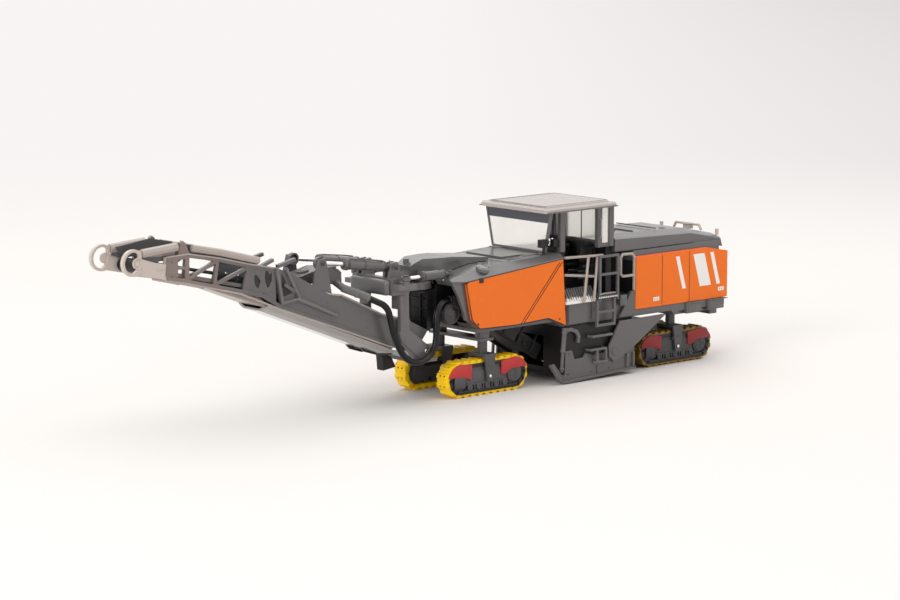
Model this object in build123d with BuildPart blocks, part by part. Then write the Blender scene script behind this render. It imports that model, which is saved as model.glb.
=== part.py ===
from build123d import *
import os
from math import cos, degrees, pi, radians, sin, tan

# Cold planer, a plastic scale model at 1:87, in millimetres.
# +X points to the tip of the discharge conveyor, +Y to the machine's left, +Z up, z = 0 under the tracks.

os.makedirs("parts", exist_ok=True)

# Clearances
fit = 0.1
gap = 0.3

# Body stations along X
nose_x = 1.3
nose_foot_x = -7.2
well_front_x = -36.2
well_rear_x = -55.6
quarter_x = -61.8
tail_x = -96.3

# Body widths, each a half or an inset
body_half = 12.6
skin = 0.9
deck_inset = 0.3
hood_inset = 2.1
slot_half = 5.6

# Heights
beam_z = 13.4
sill_z = 14.6
nose_sill_z = 16.2
floor_z = 21.2
floor_thick = 0.8
nose_low_z = 17.2
hood_rear_z = 33.5
tail_box_low_z = 16.5
tail_box_top_z = 30.3
tail_drop = 1.5
deck_z = 31.7
engine_hood_z = 35.5
hood_crown = 0.7
roof_z = 45.1
roof_thick = 1.2

# Crawler tracks
track_x = {"front": -12.3, "rear": -79.5}
track_y = 7.93
track_length = 27.2
track_height = 9.1
track_width = 4.15
belt_thick = 0.9
lug_height = 0.5
lug_share = 0.6
shoes = 26
wheel_sides = 16
roller_r = 0.95
roller_count = 5
roller_pitch = 3.0
guard_thick = 0.3
hub_thick = 0.25
fork_gap = 0.35
fork_plate = 0.6
fork_top = 3.7
fork_foot = 1.7
fork_pin_z = 4.7
fork_pin_r = 0.55
column_r = 1.25
socket_depth = 1.6
socket_wall = 0.5

# Milling drum, its housing and side plates
drum_x = -48.6
drum_z = 7.0
drum_core_r = 4.5
drum_sides = 20
tooth_length = 1.3
tooth_width = 0.8
teeth_per_flight = 11
flights = 4
drum_gap = 0.3
shaft_r = 1.1
housing_front_x = -36.6
housing_rear_x = -60.9
housing_low_z = 2.2
side_set = 0.4
housing_wall = 0.7
throat_half = 4.6
side_plate_thick = 0.6
arm_thick = 0.6
step_reach = 1.3

# Cab
roof_x = -42.6
roof_length = 24.7
roof_rise = 0.35
pillar_inset = 2.1
pillar_size = 1.5
screen_x = -32.4
screen_low_z = 33.6
screen_low_half = 9.75
screen_top_half = 12.1
screen_frame = 0.5
pane = 0.4
console_half = 8.5
seat_y = 4.6
seat_half = 2.2

# Railings, ladders and gratings
rail_r = 0.36
ladder_step = 0.9
ladder_post = 0.7
grating_ribs = 12

# Slewing bracket and lift pivot
slew_x = 4.0
chute_r = 3.6
chute_wall = 0.7
ring_wall = 1.1
ring_z = 27.4
ring_thick = 1.7
post_half = 7.5
post_wall = 0.8
lower_plate_z = 9.8
lower_plate_thick = 0.9
slew_pin_r = 0.8
lift_x = 6.2
lift_z = 12.7
lift_pin_r = 0.7

# Discharge conveyor
boom_half = 6.3
boom_wall = 0.7
belt_half = 5.0
belt_depth = 3.0
belt_skin = 0.5
belt_tail = (10.0, 16.0)
belt_bend = (51.0, 32.2)
belt_head = (88.2, 40.6)
bed_thick = 0.9
chord_width = 0.9
web_width = 0.8
ring_r = 3.1
ring_band = 0.6
ring_x = 93.3
ring_mid_z = 42.5
guard_tube_r = 0.9
trough_depth = 1.8

# Cylinders
lift_barrel_r = 1.25
lift_rod_r = 0.55
lift_cylinder_y = 4.9
lift_rear = (15.2, 34.2)
lift_front = (37.8, 37.2)
lift_drift = 0.65
slew_barrel_r = 1.15
slew_rod_r = 0.45
slew_cylinder_y = 9.4
slew_rear_x = -0.2
slew_front_x = 14.2
slew_cylinder_z = 31.6
slew_drift = 0.32
eye_pin_r = 0.4
eye_wall = 0.45
eye_half = 0.5
boss_r = 0.9

# Extraction hose
hose_r = 0.8

# Sizes that follow
frame_half = body_half - skin - fit
deck_half = body_half - deck_inset
hood_top_half = body_half - hood_inset
pillar_half = body_half - pillar_inset
rail_y = body_half
ladder_y = rail_y + ladder_step
rail_foot_y = rail_y + 1.1
housing_half = body_half - side_set
tunnel_half = housing_half - housing_wall
drum_half = tunnel_half - drum_gap
side_in = housing_half + fit
side_out = side_in + side_plate_thick
roof_low_z = roof_z - roof_thick
floor_low_z = floor_z - floor_thick
post_in = post_half - post_wall
boom_in = boom_half - boom_wall


def side_face(outline, y=0.0):
    """A closed side outline of (x, z) points, standing at y."""
    with BuildSketch(Plane.XZ.offset(-y), mode=Mode.PRIVATE) as face:
        with BuildLine():
            Polyline(*outline, close=True)
        make_face()
    return face.sketch


def strip_face(points, width, y=0.0):
    """A strip of even width along (x, z) points, standing at y."""
    with BuildSketch(Plane.XZ.offset(-y), mode=Mode.PRIVATE) as strip:
        with BuildLine():
            Polyline(*points)
        trace(line_width=width)
    return strip.sketch


def across(outline, half, mode=Mode.ADD):
    """A side outline extruded across the model, joined to the piece that is being built."""
    extrude(side_face(outline), amount=half, both=True, mode=mode)


def side_pair(outline, inner, outer, mode=Mode.ADD):
    """A side outline as one plate on each side, from inner to outer."""
    for way in (-1, 1):
        extrude(side_face(outline, way * inner), amount=-way * (outer - inner), mode=mode)


def strip_pair(points, width, inner, outer, mode=Mode.ADD):
    """A strip as one flat bar on each side, from inner to outer."""
    for way in (-1, 1):
        extrude(strip_face(points, width, way * inner), amount=-way * (outer - inner), mode=mode)


def box_between(low, high, mode=Mode.ADD):
    """A block between two corners, joined to the piece that is being built."""
    size = [abs(b - a) for a, b in zip(low, high)]
    middle = [(a + b) / 2 for a, b in zip(low, high)]
    with Locations(tuple(middle)):
        Box(*size, mode=mode)


def box_pair(low, high, mode=Mode.ADD):
    """A block and its mirror image, joined to the piece that is being built."""
    for way in (-1, 1):
        box_between((low[0], way * low[1], low[2]), (high[0], way * high[1], high[2]), mode)


def bar(start, end, radius, sides=0, mode=Mode.ADD):
    """A bar from one point to the other, round or with that many sides."""
    line = Vector(*end) - Vector(*start)
    with BuildSketch(Plane(origin=start, z_dir=line), mode=Mode.PRIVATE) as section:
        if sides:
            RegularPolygon(radius, sides)
        else:
            Circle(radius)
    extrude(section.sketch, amount=line.length, mode=mode)


def rail(points, radius=rail_r, sides=8):
    """A bent bar with mitred corners through points, joined to the piece that is being built."""
    with BuildLine(mode=Mode.PRIVATE) as path:
        Polyline(*points)
    with BuildSketch(Plane(origin=points[0], z_dir=path.line % 0), mode=Mode.PRIVATE) as section:
        RegularPolygon(radius, sides)
    sweep(section.sketch, path=path.line, transition=Transition.RIGHT)


def rail_pair(points, radius=rail_r, sides=8):
    """A bent bar and its mirror image."""
    for way in (-1, 1):
        rail([(x, way * y, z) for x, y, z in points], radius, sides)


def write(piece, name):
    piece.part.label = name
    export_step(piece.part, f"parts/{name}.step")


# Crawler tracks

belt_r = track_height / 2 - lug_height
inner_r = belt_r - belt_thick
half_straight = (track_length - track_height) / 2
loop_length = 4 * half_straight + 2 * pi * belt_r
shoe_pitch = loop_length / shoes
axle_z = track_height / 2
wheel_r = inner_r - fit
wheel_half = track_width / 2 - 0.5
plate_in = track_width / 2 + fork_gap
bridge_low = track_height + 0.4
bridge_high = bridge_low + 0.8
fork_low_z = fork_pin_z - 1.3
socket_r = column_r + fit + socket_wall


def on_loop(s):
    """Place and turn of a shoe at distance s along the belt's outer face, from the top's middle."""
    half_turn = pi * belt_r
    if s < half_straight:
        return s, belt_r, 0.0
    if s < half_straight + half_turn:
        turn = (s - half_straight) / belt_r
        return half_straight + belt_r * sin(turn), belt_r * cos(turn), -degrees(turn)
    if s < 3 * half_straight + half_turn:
        return 2 * half_straight + half_turn - s, -belt_r, 180.0
    if s < 3 * half_straight + 2 * half_turn:
        turn = (s - 3 * half_straight - half_turn) / belt_r
        return -half_straight - belt_r * sin(turn), -belt_r * cos(turn), 180.0 - degrees(turn)
    return s - loop_length, belt_r, 0.0


with BuildSketch(Plane.XZ) as belt_loop:
    SlotCenterToCenter(2 * half_straight, 2 * belt_r)
    for shoe in range(shoes):
        shoe_x, shoe_z, angle = on_loop(shoe * shoe_pitch)
        with Locations(Location((shoe_x, shoe_z), angle)):
            Trapezoid(lug_share * shoe_pitch, 2 * lug_height, 78)
    SlotCenterToCenter(2 * half_straight, 2 * inner_r, mode=Mode.SUBTRACT)

# Outline of a guard over an end wheel, from the track's middle
guard_outline = (
    (2.4, 0.8 * belt_r), (half_straight - 0.4, 0.8 * belt_r), (half_straight + 1.9, 0.45 * belt_r),
    (half_straight + 2.6, 0.6), (half_straight - 1.2, 0.6), (half_straight - 2.8, -0.3), (2.4, -0.3))

for end, centre_x in track_x.items():
    for side_name, side in (("left", 1), ("right", -1)):
        tag = f"{end}_{side_name}"
        centre_y = side * track_y
        middle = Plane(origin=(centre_x, centre_y, axle_z), x_dir=(1, 0, 0), z_dir=(0, -1, 0))
        outer_face = middle.offset(-side * track_width / 2)

        with BuildPart() as belt:
            extrude(belt_loop.sketch.moved(Location(middle.origin)), amount=track_width / 2, both=True)
        write(belt, f"track_belt_{tag}")

        # Side frame with its end wheels, bottom rollers, idler block and sprocket hub, inside the belt
        with BuildPart() as side_frame:
            with BuildSketch(middle):
                with Locations((half_straight, 0), (-half_straight, 0)):
                    RegularPolygon(wheel_r, wheel_sides)
                with Locations((0, roller_r - wheel_r)):
                    with GridLocations(roller_pitch, 1, roller_count, 1):
                        RegularPolygon(roller_r, 8)
            extrude(amount=wheel_half, both=True)
            with BuildSketch(middle):
                with BuildLine():
                    Polyline(
                        (-half_straight - 1.2, 1.3), (half_straight + 1.4, 1.3), (half_straight + 1.4, -1.5),
                        (-half_straight - 1.2, -1.5), close=True)
                make_face()
            extrude(amount=track_width / 2, both=True)
            with BuildSketch(outer_face):
                with Locations((-half_straight, 0)):
                    RegularPolygon(0.75 * wheel_r, 10)
                with Locations((half_straight, -0.4)):
                    Rectangle(0.8 * wheel_r, 0.6 * wheel_r)
            extrude(amount=-side * hub_thick)
            bar((centre_x, centre_y - plate_in - fork_plate, fork_pin_z),
                (centre_x, centre_y + plate_in + fork_plate, fork_pin_z), fork_pin_r, 8)
        write(side_frame, f"track_frame_{tag}")

        # Guards over the end wheels, on the outer face
        with BuildPart() as guards:
            for way in (-1, 1):
                with BuildSketch(outer_face):
                    with BuildLine():
                        Polyline(*[(way * px, pz) for px, pz in guard_outline], close=True)
                    make_face()
                    with Locations((-half_straight, 0), (half_straight, -0.4)):
                        RegularPolygon(0.75 * wheel_r + fit, 10, mode=Mode.SUBTRACT)
                extrude(amount=-side * guard_thick)
        write(guards, f"track_guards_{tag}")

        # Steered fork: column, bridge and two plates that hold the track's pin
        fork_outline = (
            (centre_x - fork_top / 2, bridge_high), (centre_x + fork_top / 2, bridge_high),
            (centre_x + fork_foot / 2, fork_low_z), (centre_x - fork_foot / 2, fork_low_z))
        with BuildPart() as fork:
            box_between((centre_x - fork_top / 2, centre_y - plate_in - fork_plate, bridge_low),
                        (centre_x + fork_top / 2, centre_y + plate_in + fork_plate, bridge_high))
            for way in (-1, 1):
                extrude(side_face(fork_outline, centre_y + way * plate_in), amount=-way * fork_plate)
            bar((centre_x, centre_y - plate_in - 1, fork_pin_z), (centre_x, centre_y + plate_in + 1, fork_pin_z),
                fork_pin_r + fit / 2, 8, mode=Mode.SUBTRACT)
            bar((centre_x, centre_y, bridge_high), (centre_x, centre_y, beam_z + socket_depth - fit), column_r)
        write(fork, f"track_fork_{tag}")


# Milling drum with its picks on four flights

drum_axis = Plane(origin=(drum_x, 0, drum_z), x_dir=(1, 0, 0), z_dir=(0, -1, 0))
tooth_step = 2 * drum_half / teeth_per_flight
with BuildPart() as drum:
    with BuildSketch(drum_axis):
        RegularPolygon(drum_core_r, drum_sides)
    extrude(amount=drum_half, both=True)
    with BuildSketch(drum_axis):
        Circle(shaft_r)
    extrude(amount=housing_half, both=True)
    for flight in range(flights):
        for tooth in range(teeth_per_flight):
            y = (tooth + 0.5) * tooth_step - drum_half
            turn = 360 * flight / flights + 200 * abs(y) / drum_half
            with Locations(Location((drum_x, y, drum_z), (0, turn, 0))):
                with Locations((0, 0, drum_core_r + tooth_length / 2 - fit)):
                    Box(tooth_width, tooth_width, tooth_length + 2 * fit)
write(drum, "milling_drum")


# Drum housing: two end walls and a hood, open below and at the throat in front

tunnel_r = drum_core_r + tooth_length + 0.7
housing_top_z = sill_z - fit
housing_outline = (
    (housing_front_x, housing_low_z), (housing_front_x, housing_top_z), (housing_rear_x, housing_top_z),
    (housing_rear_x, housing_low_z))
with BuildPart() as housing:
    across(housing_outline, housing_half)
    with BuildSketch(drum_axis):
        Circle(tunnel_r)
    extrude(amount=tunnel_half, both=True, mode=Mode.SUBTRACT)
    box_between((drum_x - tunnel_r, -tunnel_half, 0), (drum_x + tunnel_r, tunnel_half, drum_z), mode=Mode.SUBTRACT)
    box_between((drum_x, -throat_half, drum_z - 3.6), (housing_front_x + 1, throat_half, drum_z + 4.4),
                mode=Mode.SUBTRACT)
    bar((drum_x, -housing_half - 1, drum_z), (drum_x, housing_half + 1, drum_z), shaft_r + fit, 16, Mode.SUBTRACT)
write(housing, "drum_housing")

# Side plates with a notch, a turned-up skid in front and two ribs behind
plate_outline = (
    (housing_rear_x - 0.3, 1.6), (-45.1, 1.0), (-35.6, 0.5), (-34.6, 1.0), (-31.8, 5.2), (-32.5, 5.6), (-35.4, 2.2),
    (-36.2, 2.4), (-36.4, 8.4), (-38.7, 8.4), (-39.6, 6.0), (-42.8, 6.1), (-43.7, 7.1), (-46.3, 6.3),
    (housing_rear_x - 0.3, 7.2))
skid_line = ((housing_rear_x - 0.3, 1.5), (-45.1, 0.9), (-35.4, 0.5), (-34.4, 1.2), (-31.3, 5.4))
with BuildPart() as side_plates:
    side_pair(plate_outline, side_in, side_out)
    strip_pair(skid_line, 0.6, side_in, side_out + 0.6)
    for rib_x in (-60.9, -58.6):
        box_pair((rib_x, side_out, 2.0), (rib_x + 0.6, side_out + 0.5, 5.6))
write(side_plates, "side_plates")

# Lifting cylinder of each side plate, and the arched stay behind it
stay_line = ((-36.6, 13.8), (-38.5, 13.8), (-40.3, 13.1), (-41.1, 11.9), (-40.9, 10.2))
cylinder_y = side_in + 0.6
with BuildPart() as plate_cylinders:
    for way in (-1, 1):
        bar((-36.1, way * cylinder_y, 14.4), (-35.5, way * cylinder_y, 8.6), 0.6, 10)
        bar((-35.5, way * cylinder_y, 8.6), (-35.0, way * cylinder_y, 3.2), 0.42, 10)
    strip_pair(stay_line, 0.9, side_in, side_in + 0.7)
    side_pair(((-36.6, 13.2), (-36.6, 14.4), (-35.7, 14.4), (-35.7, 13.2)), side_in, side_in + 0.7)
write(plate_cylinders, "plate_cylinders")


# Main frame: floor beams, sockets for the four legs, rear bumper

leg_plate = (-14.4, -10.2)
bridge_x = -14.6
frame_top_z = floor_low_z - fit
frame_rear_x = tail_x + 1.0
frame_outline = (
    (frame_rear_x, beam_z), (-76.6, beam_z), (-75.4, sill_z), (well_front_x, sill_z), (-33.5, nose_sill_z),
    (nose_foot_x, nose_sill_z), (nose_foot_x, nose_low_z - fit), (well_front_x, nose_low_z - fit),
    (well_front_x, frame_top_z), (frame_rear_x, frame_top_z))
with BuildPart() as main_frame:
    across(frame_outline, frame_half)
    box_between((housing_front_x, -slot_half, 0), (bridge_x, slot_half, nose_low_z + 1), mode=Mode.SUBTRACT)
    box_between((leg_plate[0], -track_y - socket_r, beam_z), (leg_plate[1], track_y + socket_r, beam_z + 0.7))
    for leg_x in track_x.values():
        for way in (-1, 1):
            bar((leg_x, way * track_y, beam_z), (leg_x, way * track_y, nose_sill_z), socket_r, 12)
            with Locations((leg_x, way * track_y, beam_z + socket_depth / 2)):
                Cylinder(column_r + fit, socket_depth, mode=Mode.SUBTRACT)
    box_between((tail_x + 0.1, -9.0, beam_z - 1.8), (tail_x + 2.8, 9.0, beam_z + 2.0))
write(main_frame, "main_frame")


# Inner conveyor, from the drum up through the nose to the transfer chute

inner_half = slot_half - 2 * gap
inner_wall = 0.6
inner_depth = 4.0
inner_low = (-34.6, 7.4)
inner_angle = 31.3
inner_run = 37.4
inner_plane = Plane(
    origin=(inner_low[0], 0, inner_low[1]), z_dir=(0, -1, 0),
    x_dir=(cos(radians(inner_angle)), 0, sin(radians(inner_angle))))
with BuildPart() as inner_conveyor:
    for way in (-1, 1):
        with BuildSketch(inner_plane.offset(way * (inner_half - inner_wall / 2))):
            with Locations((inner_run / 2, 0)):
                Rectangle(inner_run, inner_depth)
            with Locations((4.0, 0), (8.0, 0)):
                Rectangle(2.6, 0.55 * inner_depth, mode=Mode.SUBTRACT)
        extrude(amount=inner_wall / 2, both=True)
    with BuildSketch(inner_plane):
        with Locations((inner_run / 2 + 0.3, 0)):
            SlotOverall(inner_run - 0.6, 0.6 * inner_depth)
    extrude(amount=inner_half - inner_wall / 2, both=True)
write(inner_conveyor, "inner_conveyor")


# Nose: grey hood over the tanks, with a recess in front and the slot for the inner conveyor

panel_top = ((-2.9, 29.2), (well_front_x, 32.0))
recess_half = frame_half - 1.0
recess_rear_x = -8.0
recess_low_z = 18.6
recess_top_z = 28.6
nose_outline = (
    (nose_foot_x, nose_low_z), (-3.8, 19.6), (-1.1, 25.8), (nose_x, 29.7), (-2.8, 29.7),
    (well_front_x, panel_top[1][1] + 0.4), (well_front_x, nose_low_z))
# Stations of the hood's faceted top: x, half width, lower edge, side edge, top and half width of the top
hood_stations = (
    (well_front_x, body_half - fit, panel_top[1][1] + fit, panel_top[1][1] + 0.35, hood_rear_z, hood_top_half),
    (-10.2, body_half - fit, 29.9, 30.2, 32.4, hood_top_half),
    (-2.8, body_half - fit, panel_top[0][1] + fit, panel_top[0][1] + 0.35, 31.0, hood_top_half),
    (nose_x, frame_half, 29.5, 29.8, 30.3, hood_top_half))
slot_top_z = ring_z + ring_thick + 0.6
slot_cut = (
    (well_front_x - 1, 10), (well_front_x - 1, 20), (-30, 20), (-11, slot_top_z), (5, slot_top_z), (5, 10))
slew_boss_z = slew_cylinder_z - eye_half - fit
with BuildPart() as nose_hood:
    for x, half, low_z, edge_z, top_z, top_half in hood_stations:
        with BuildSketch(Plane(origin=(x, 0, 0), x_dir=(0, 1, 0), z_dir=(1, 0, 0))):
            with BuildLine():
                Polyline((-half, low_z), (-half, edge_z), (-top_half, top_z), (top_half, top_z), (half, edge_z),
                         (half, low_z), close=True)
            make_face()
    loft(ruled=True)
    across(nose_outline, frame_half)
    box_between((recess_rear_x, -recess_half, recess_low_z), (nose_x + 3, recess_half, recess_top_z),
                mode=Mode.SUBTRACT)
    across(slot_cut, slot_half, mode=Mode.SUBTRACT)
    box_between((-33.0, -6.5, hood_rear_z - 0.6), (-20.0, 6.5, hood_rear_z))
    bar((-10.4, 9.0, 32.0), (-10.4, 9.0, 33.1), 0.7, 8)
    for way in (-1, 1):
        pin_y = way * slew_cylinder_y
        bar((slew_rear_x, pin_y, 29.4), (slew_rear_x, pin_y, slew_boss_z), boss_r + fit, 10)
        bar((slew_rear_x, pin_y, 29.4), (slew_rear_x, pin_y, slew_cylinder_z + eye_half), eye_pin_r)
write(nose_hood, "nose_hood")

# Orange side panels of the nose, with a slanting double groove
panel_outline = (
    panel_top[0], (-4.9, 19.8), (-7.4, 17.4), (-19.8, 17.1), (-30.8, 17.6), (-36.8, 15.1), (-35.7, panel_top[1][1]))
panel_in = frame_half + fit / 2
panel_out = body_half - fit / 2
with BuildPart() as nose_panels:
    side_pair(panel_outline, panel_in, panel_out)
    upright = nose_panels.edges().filter_by(Axis.Y)
    fillet(upright.group_by(Axis.X)[-1] + upright.group_by(Axis.X)[-2] + upright.group_by(Axis.X)[-3], 0.8)
    for shift in (0, 0.9):
        strip_pair(((-35.5 + shift, 31.4), (-21.9 + shift, 16.8)), 0.28, panel_out - 0.25, panel_out + 1,
                   mode=Mode.SUBTRACT)
write(nose_panels, "nose_panels")

# Cover of the inner conveyor's head: a tongue that narrows to the front, with the pin on its tip
head_outline = (
    (-16.9, 32.8), (-10.2, 32.5), (-3.0, 31.2), (nose_x + fit, 30.4), (nose_x + fit, ring_z + ring_thick + 0.5),
    (4.4, ring_z + ring_thick + 0.5), (4.7, 32.1), (6.9, 32.3), (6.9, 33.2), (5.6, 33.9), (3.6, 34.8), (-5.0, 34.7),
    (-16.9, 33.6))
head_plan = ((-16.9, 5.0), (-2.0, 4.6), (6.9, 2.6), (6.9, -2.6), (-2.0, -4.6), (-16.9, -5.0))
with BuildPart() as feed_head:
    across(head_outline, slot_half)
    with BuildSketch(Plane.XY.offset(28)):
        with BuildLine():
            Polyline(*head_plan, close=True)
        make_face()
    extrude(amount=8, mode=Mode.INTERSECT)
    bar((6.0, 0, 33.0), (6.0, 0, 34.8), 0.75, 10)
write(feed_head, "feed_head")

# Transfer chute: a box in front of the nose, the round spout above it and the slewing pin below
chute_front_x = 3.1
foot_z = nose_low_z - 0.7
with BuildPart() as chute:
    box_between((0.3, 1 - slot_half, nose_low_z + 0.1), (chute_front_x, slot_half - 1, ring_z - gap))
    box_between((0.3, fit - slot_half, nose_low_z + 0.1), (1.1, slot_half - fit, ring_z - gap))
    box_pair((-6.0, slot_half - 2 * gap + fit, recess_low_z), (1.0, slot_half - fit, recess_top_z - 0.2))
    box_between((0.3, -2.5, foot_z), (slew_x + 1.3, 2.5, nose_low_z + 0.1))
    bar((slew_x, 0, ring_z - gap - 0.6), (slew_x, 0, ring_z - gap), chute_r + ring_wall, 24)
    bar((slew_x, 0, ring_z - gap), (slew_x, 0, ring_z + ring_thick + 0.4), chute_r)
    bar((slew_x, 0, ring_z - gap - 1), (slew_x, 0, ring_z + ring_thick + 1), chute_r - chute_wall, 24, Mode.SUBTRACT)
    bar((slew_x, 0, lower_plate_z), (slew_x, 0, foot_z + 0.1), slew_pin_r)
write(chute, "transfer_chute")

# Extraction fan on the left of the chute, with its outlet for the hose
fan_x = -0.95
fan_z = 21.3
fan_r = 2.6
outlet_x = -1.6
with BuildPart() as feed_fans:
    bar((fan_x, slot_half, fan_z), (fan_x, 9.2, fan_z), fan_r, 20)
    bar((fan_x, 9.2, fan_z), (fan_x, 9.7, fan_z), 0.9, 10)
    box_between((fan_x - fan_r, 7.2, fan_z), (outlet_x, 9.2, fan_z + 4.2))
write(feed_fans, "feed_fans")


# Operator's platform and cab

tank_x = (-46.6, -37.4)
tank_low_z = sill_z + 0.5
with BuildPart() as platform:
    box_between((well_rear_x, -deck_half, floor_low_z), (well_front_x - fit, deck_half, floor_z))
    for way in (-1, 1):
        with BuildSketch(Plane.XY.offset(tank_low_z)):
            with Locations(((tank_x[0] + tank_x[1]) / 2, way * (deck_half - 2))):
                RectangleRounded(tank_x[1] - tank_x[0], 4, 1.2)
        extrude(amount=floor_low_z - tank_low_z)
    box_between((well_rear_x, -frame_half - fit, sill_z), (well_front_x, frame_half + fit, floor_low_z - fit / 2),
                mode=Mode.SUBTRACT)
write(platform, "platform")

console_outline = (
    (well_front_x - fit, floor_z), (well_front_x - fit, hood_rear_z + 0.2), (-37.8, 34.6), (-40.3, 33.0), (-40.2, 32.3),
    (-39.0, 31.4), (-39.0, floor_z))
rear_wall_x = well_rear_x + 2.0
with BuildPart() as console:
    across(console_outline, console_half)
    box_between((well_rear_x + fit, 0.7 - pillar_half, floor_z), (rear_wall_x, pillar_half - 0.7, hood_rear_z))
    box_pair((-31.4, hood_top_half - 0.5, hood_rear_z - 0.2), (-30.8, hood_top_half - 0.1, 35.4))
    box_pair((-31.7, hood_top_half - 0.7, 35.3), (-29.4, hood_top_half + 0.5, 37.3))
    box_pair((-35.8, hood_top_half - 0.9, hood_rear_z), (-35.2, hood_top_half - 0.5, 35.2))
    box_pair((-36.1, hood_top_half - 1.3, 35.1), (-34.3, hood_top_half + 0.1, 36.9))
write(console, "cab_console")

seat_side = (
    (-46.6, 25.2), (-46.4, 26.6), (-51.2, 26.8), (-52.2, 33.0), (-53.2, 33.0), (-52.9, 25.4), (-50.6, 25.2),
    (-50.6, floor_z), (-48.4, floor_z), (-48.4, 25.2))
with BuildPart() as seat:
    for way in (-1, 1):
        extrude(side_face(seat_side, way * seat_y - seat_half), amount=-2 * seat_half)
        for arm in (-1, 1):
            arm_y = way * seat_y + arm * (seat_half + 0.3)
            box_between((-52.0, arm_y - 0.3, 28.2), (-47.6, arm_y + 0.3, 28.8))
write(seat, "cab_seats")

with BuildPart() as roof:
    with BuildSketch(Plane.XY.offset(roof_low_z)):
        with Locations((roof_x, 0)):
            RectangleRounded(roof_length, 2 * body_half, 0.8)
    extrude(amount=roof_thick)
    chamfer(roof.faces().sort_by(Axis.Z)[-1].edges(), 0.35)
    with BuildSketch(Plane.XY.offset(roof_z)):
        with Locations((roof_x, 0)):
            Rectangle(roof_length - 3.2, 2 * body_half - 3.2)
    extrude(amount=roof_rise, taper=30)
write(roof, "canopy_roof")

pillar_x = (-37.0, -50.2, -54.4)
screen_top_z = roof_low_z
screen_outline = (
    (-screen_low_half, screen_low_z), (screen_low_half, screen_low_z), (screen_top_half, screen_top_z),
    (-screen_top_half, screen_top_z))
panes_y = (3.3, pillar_half - 0.7)
with BuildPart() as pillars:
    for px in pillar_x:
        box_pair((px - pillar_size / 2, pillar_half - 0.6, hood_rear_z + 0.1),
                 (px + pillar_size / 2, pillar_half + 0.6, roof_low_z))
    box_between((rear_wall_x - 1.6, -pillar_half, hood_rear_z), (rear_wall_x - 0.4, pillar_half, hood_rear_z + 1.0))
    box_pair((rear_wall_x - 1.3, panes_y[0] - 0.4, hood_rear_z + 1.0), (rear_wall_x - 0.5, panes_y[0] + 0.4, roof_low_z))
    box_pair((pillar_x[2], pillar_half - 0.4, hood_rear_z + 0.1), (pillar_x[1], pillar_half + 0.4, hood_rear_z + 1.0))
    with BuildSketch(Plane(origin=(screen_x - 0.2, 0, 0), x_dir=(0, 1, 0), z_dir=(1, 0, 0))):
        with BuildLine():
            Polyline(*screen_outline, close=True)
        make_face()
        offset(amount=-screen_frame, mode=Mode.SUBTRACT)
    extrude(amount=pane + 0.4)
write(pillars, "cab_pillars")

with BuildPart() as windows:
    with BuildSketch(Plane(origin=(screen_x, 0, 0), x_dir=(0, 1, 0), z_dir=(1, 0, 0))):
        with BuildLine():
            Polyline(*screen_outline, close=True)
        make_face()
        offset(amount=-screen_frame - fit / 2, mode=Mode.REPLACE)
    extrude(amount=pane)
    box_between((rear_wall_x - 1.1, 0.5 - panes_y[0], hood_rear_z + 1.1),
                (rear_wall_x - 1.1 + pane, panes_y[0] - 0.5, roof_low_z - fit))
    box_pair((rear_wall_x - 1.1, panes_y[0] + 0.5, hood_rear_z + 1.1),
             (rear_wall_x - 1.1 + pane, panes_y[1], roof_low_z - fit))
    box_pair((pillar_x[2] + pillar_size / 2 + fit, pillar_half - pane / 2, hood_rear_z + 1.1),
             (pillar_x[1] - pillar_size / 2 - fit, pillar_half + pane / 2, roof_low_z - fit))
write(windows, "cab_windows")


# Tail: engine block, orange box and engine hood

block_top_z = deck_z - 2.7
with BuildPart() as engine:
    box_between((tail_x + 2.3, 1.1 - frame_half, floor_low_z), (quarter_x - 1.2, frame_half - 1.1, block_top_z))
write(engine, "engine_block")

tail_outline = (
    (quarter_x, tail_box_low_z), (quarter_x, tail_box_top_z), (tail_x + 8.0, tail_box_top_z),
    (tail_x, tail_box_top_z - tail_drop), (tail_x, tail_box_low_z))
seam_x = (-71.6, -81.8)
with BuildPart() as tail_box:
    across(tail_outline, body_half)
    long_top = tail_box.edges().filter_by(Axis.X).group_by(Axis.Z)[-1]
    fillet(long_top, 0.6)
    box_between((tail_x + skin, -frame_half - fit / 2, 0), (0, frame_half + fit / 2, 60), mode=Mode.SUBTRACT)
    box_between((tail_x - 1, -8, tail_box_low_z + 2), (tail_x + skin + 1, 8, tail_box_low_z + 10.5),
                mode=Mode.SUBTRACT)
    for slat in range(7):
        slat_z = tail_box_low_z + 2.7 + 1.15 * slat
        box_between((tail_x + 0.2, -8, slat_z), (tail_x + 0.7, 8, slat_z + 0.45))
    for x in seam_x:
        box_pair((x - 0.12, body_half - 0.25, 0), (x + 0.12, body_half + 1, 60), mode=Mode.SUBTRACT)
write(tail_box, "tail_box")

engine_hood_half = body_half - 1.6
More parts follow.
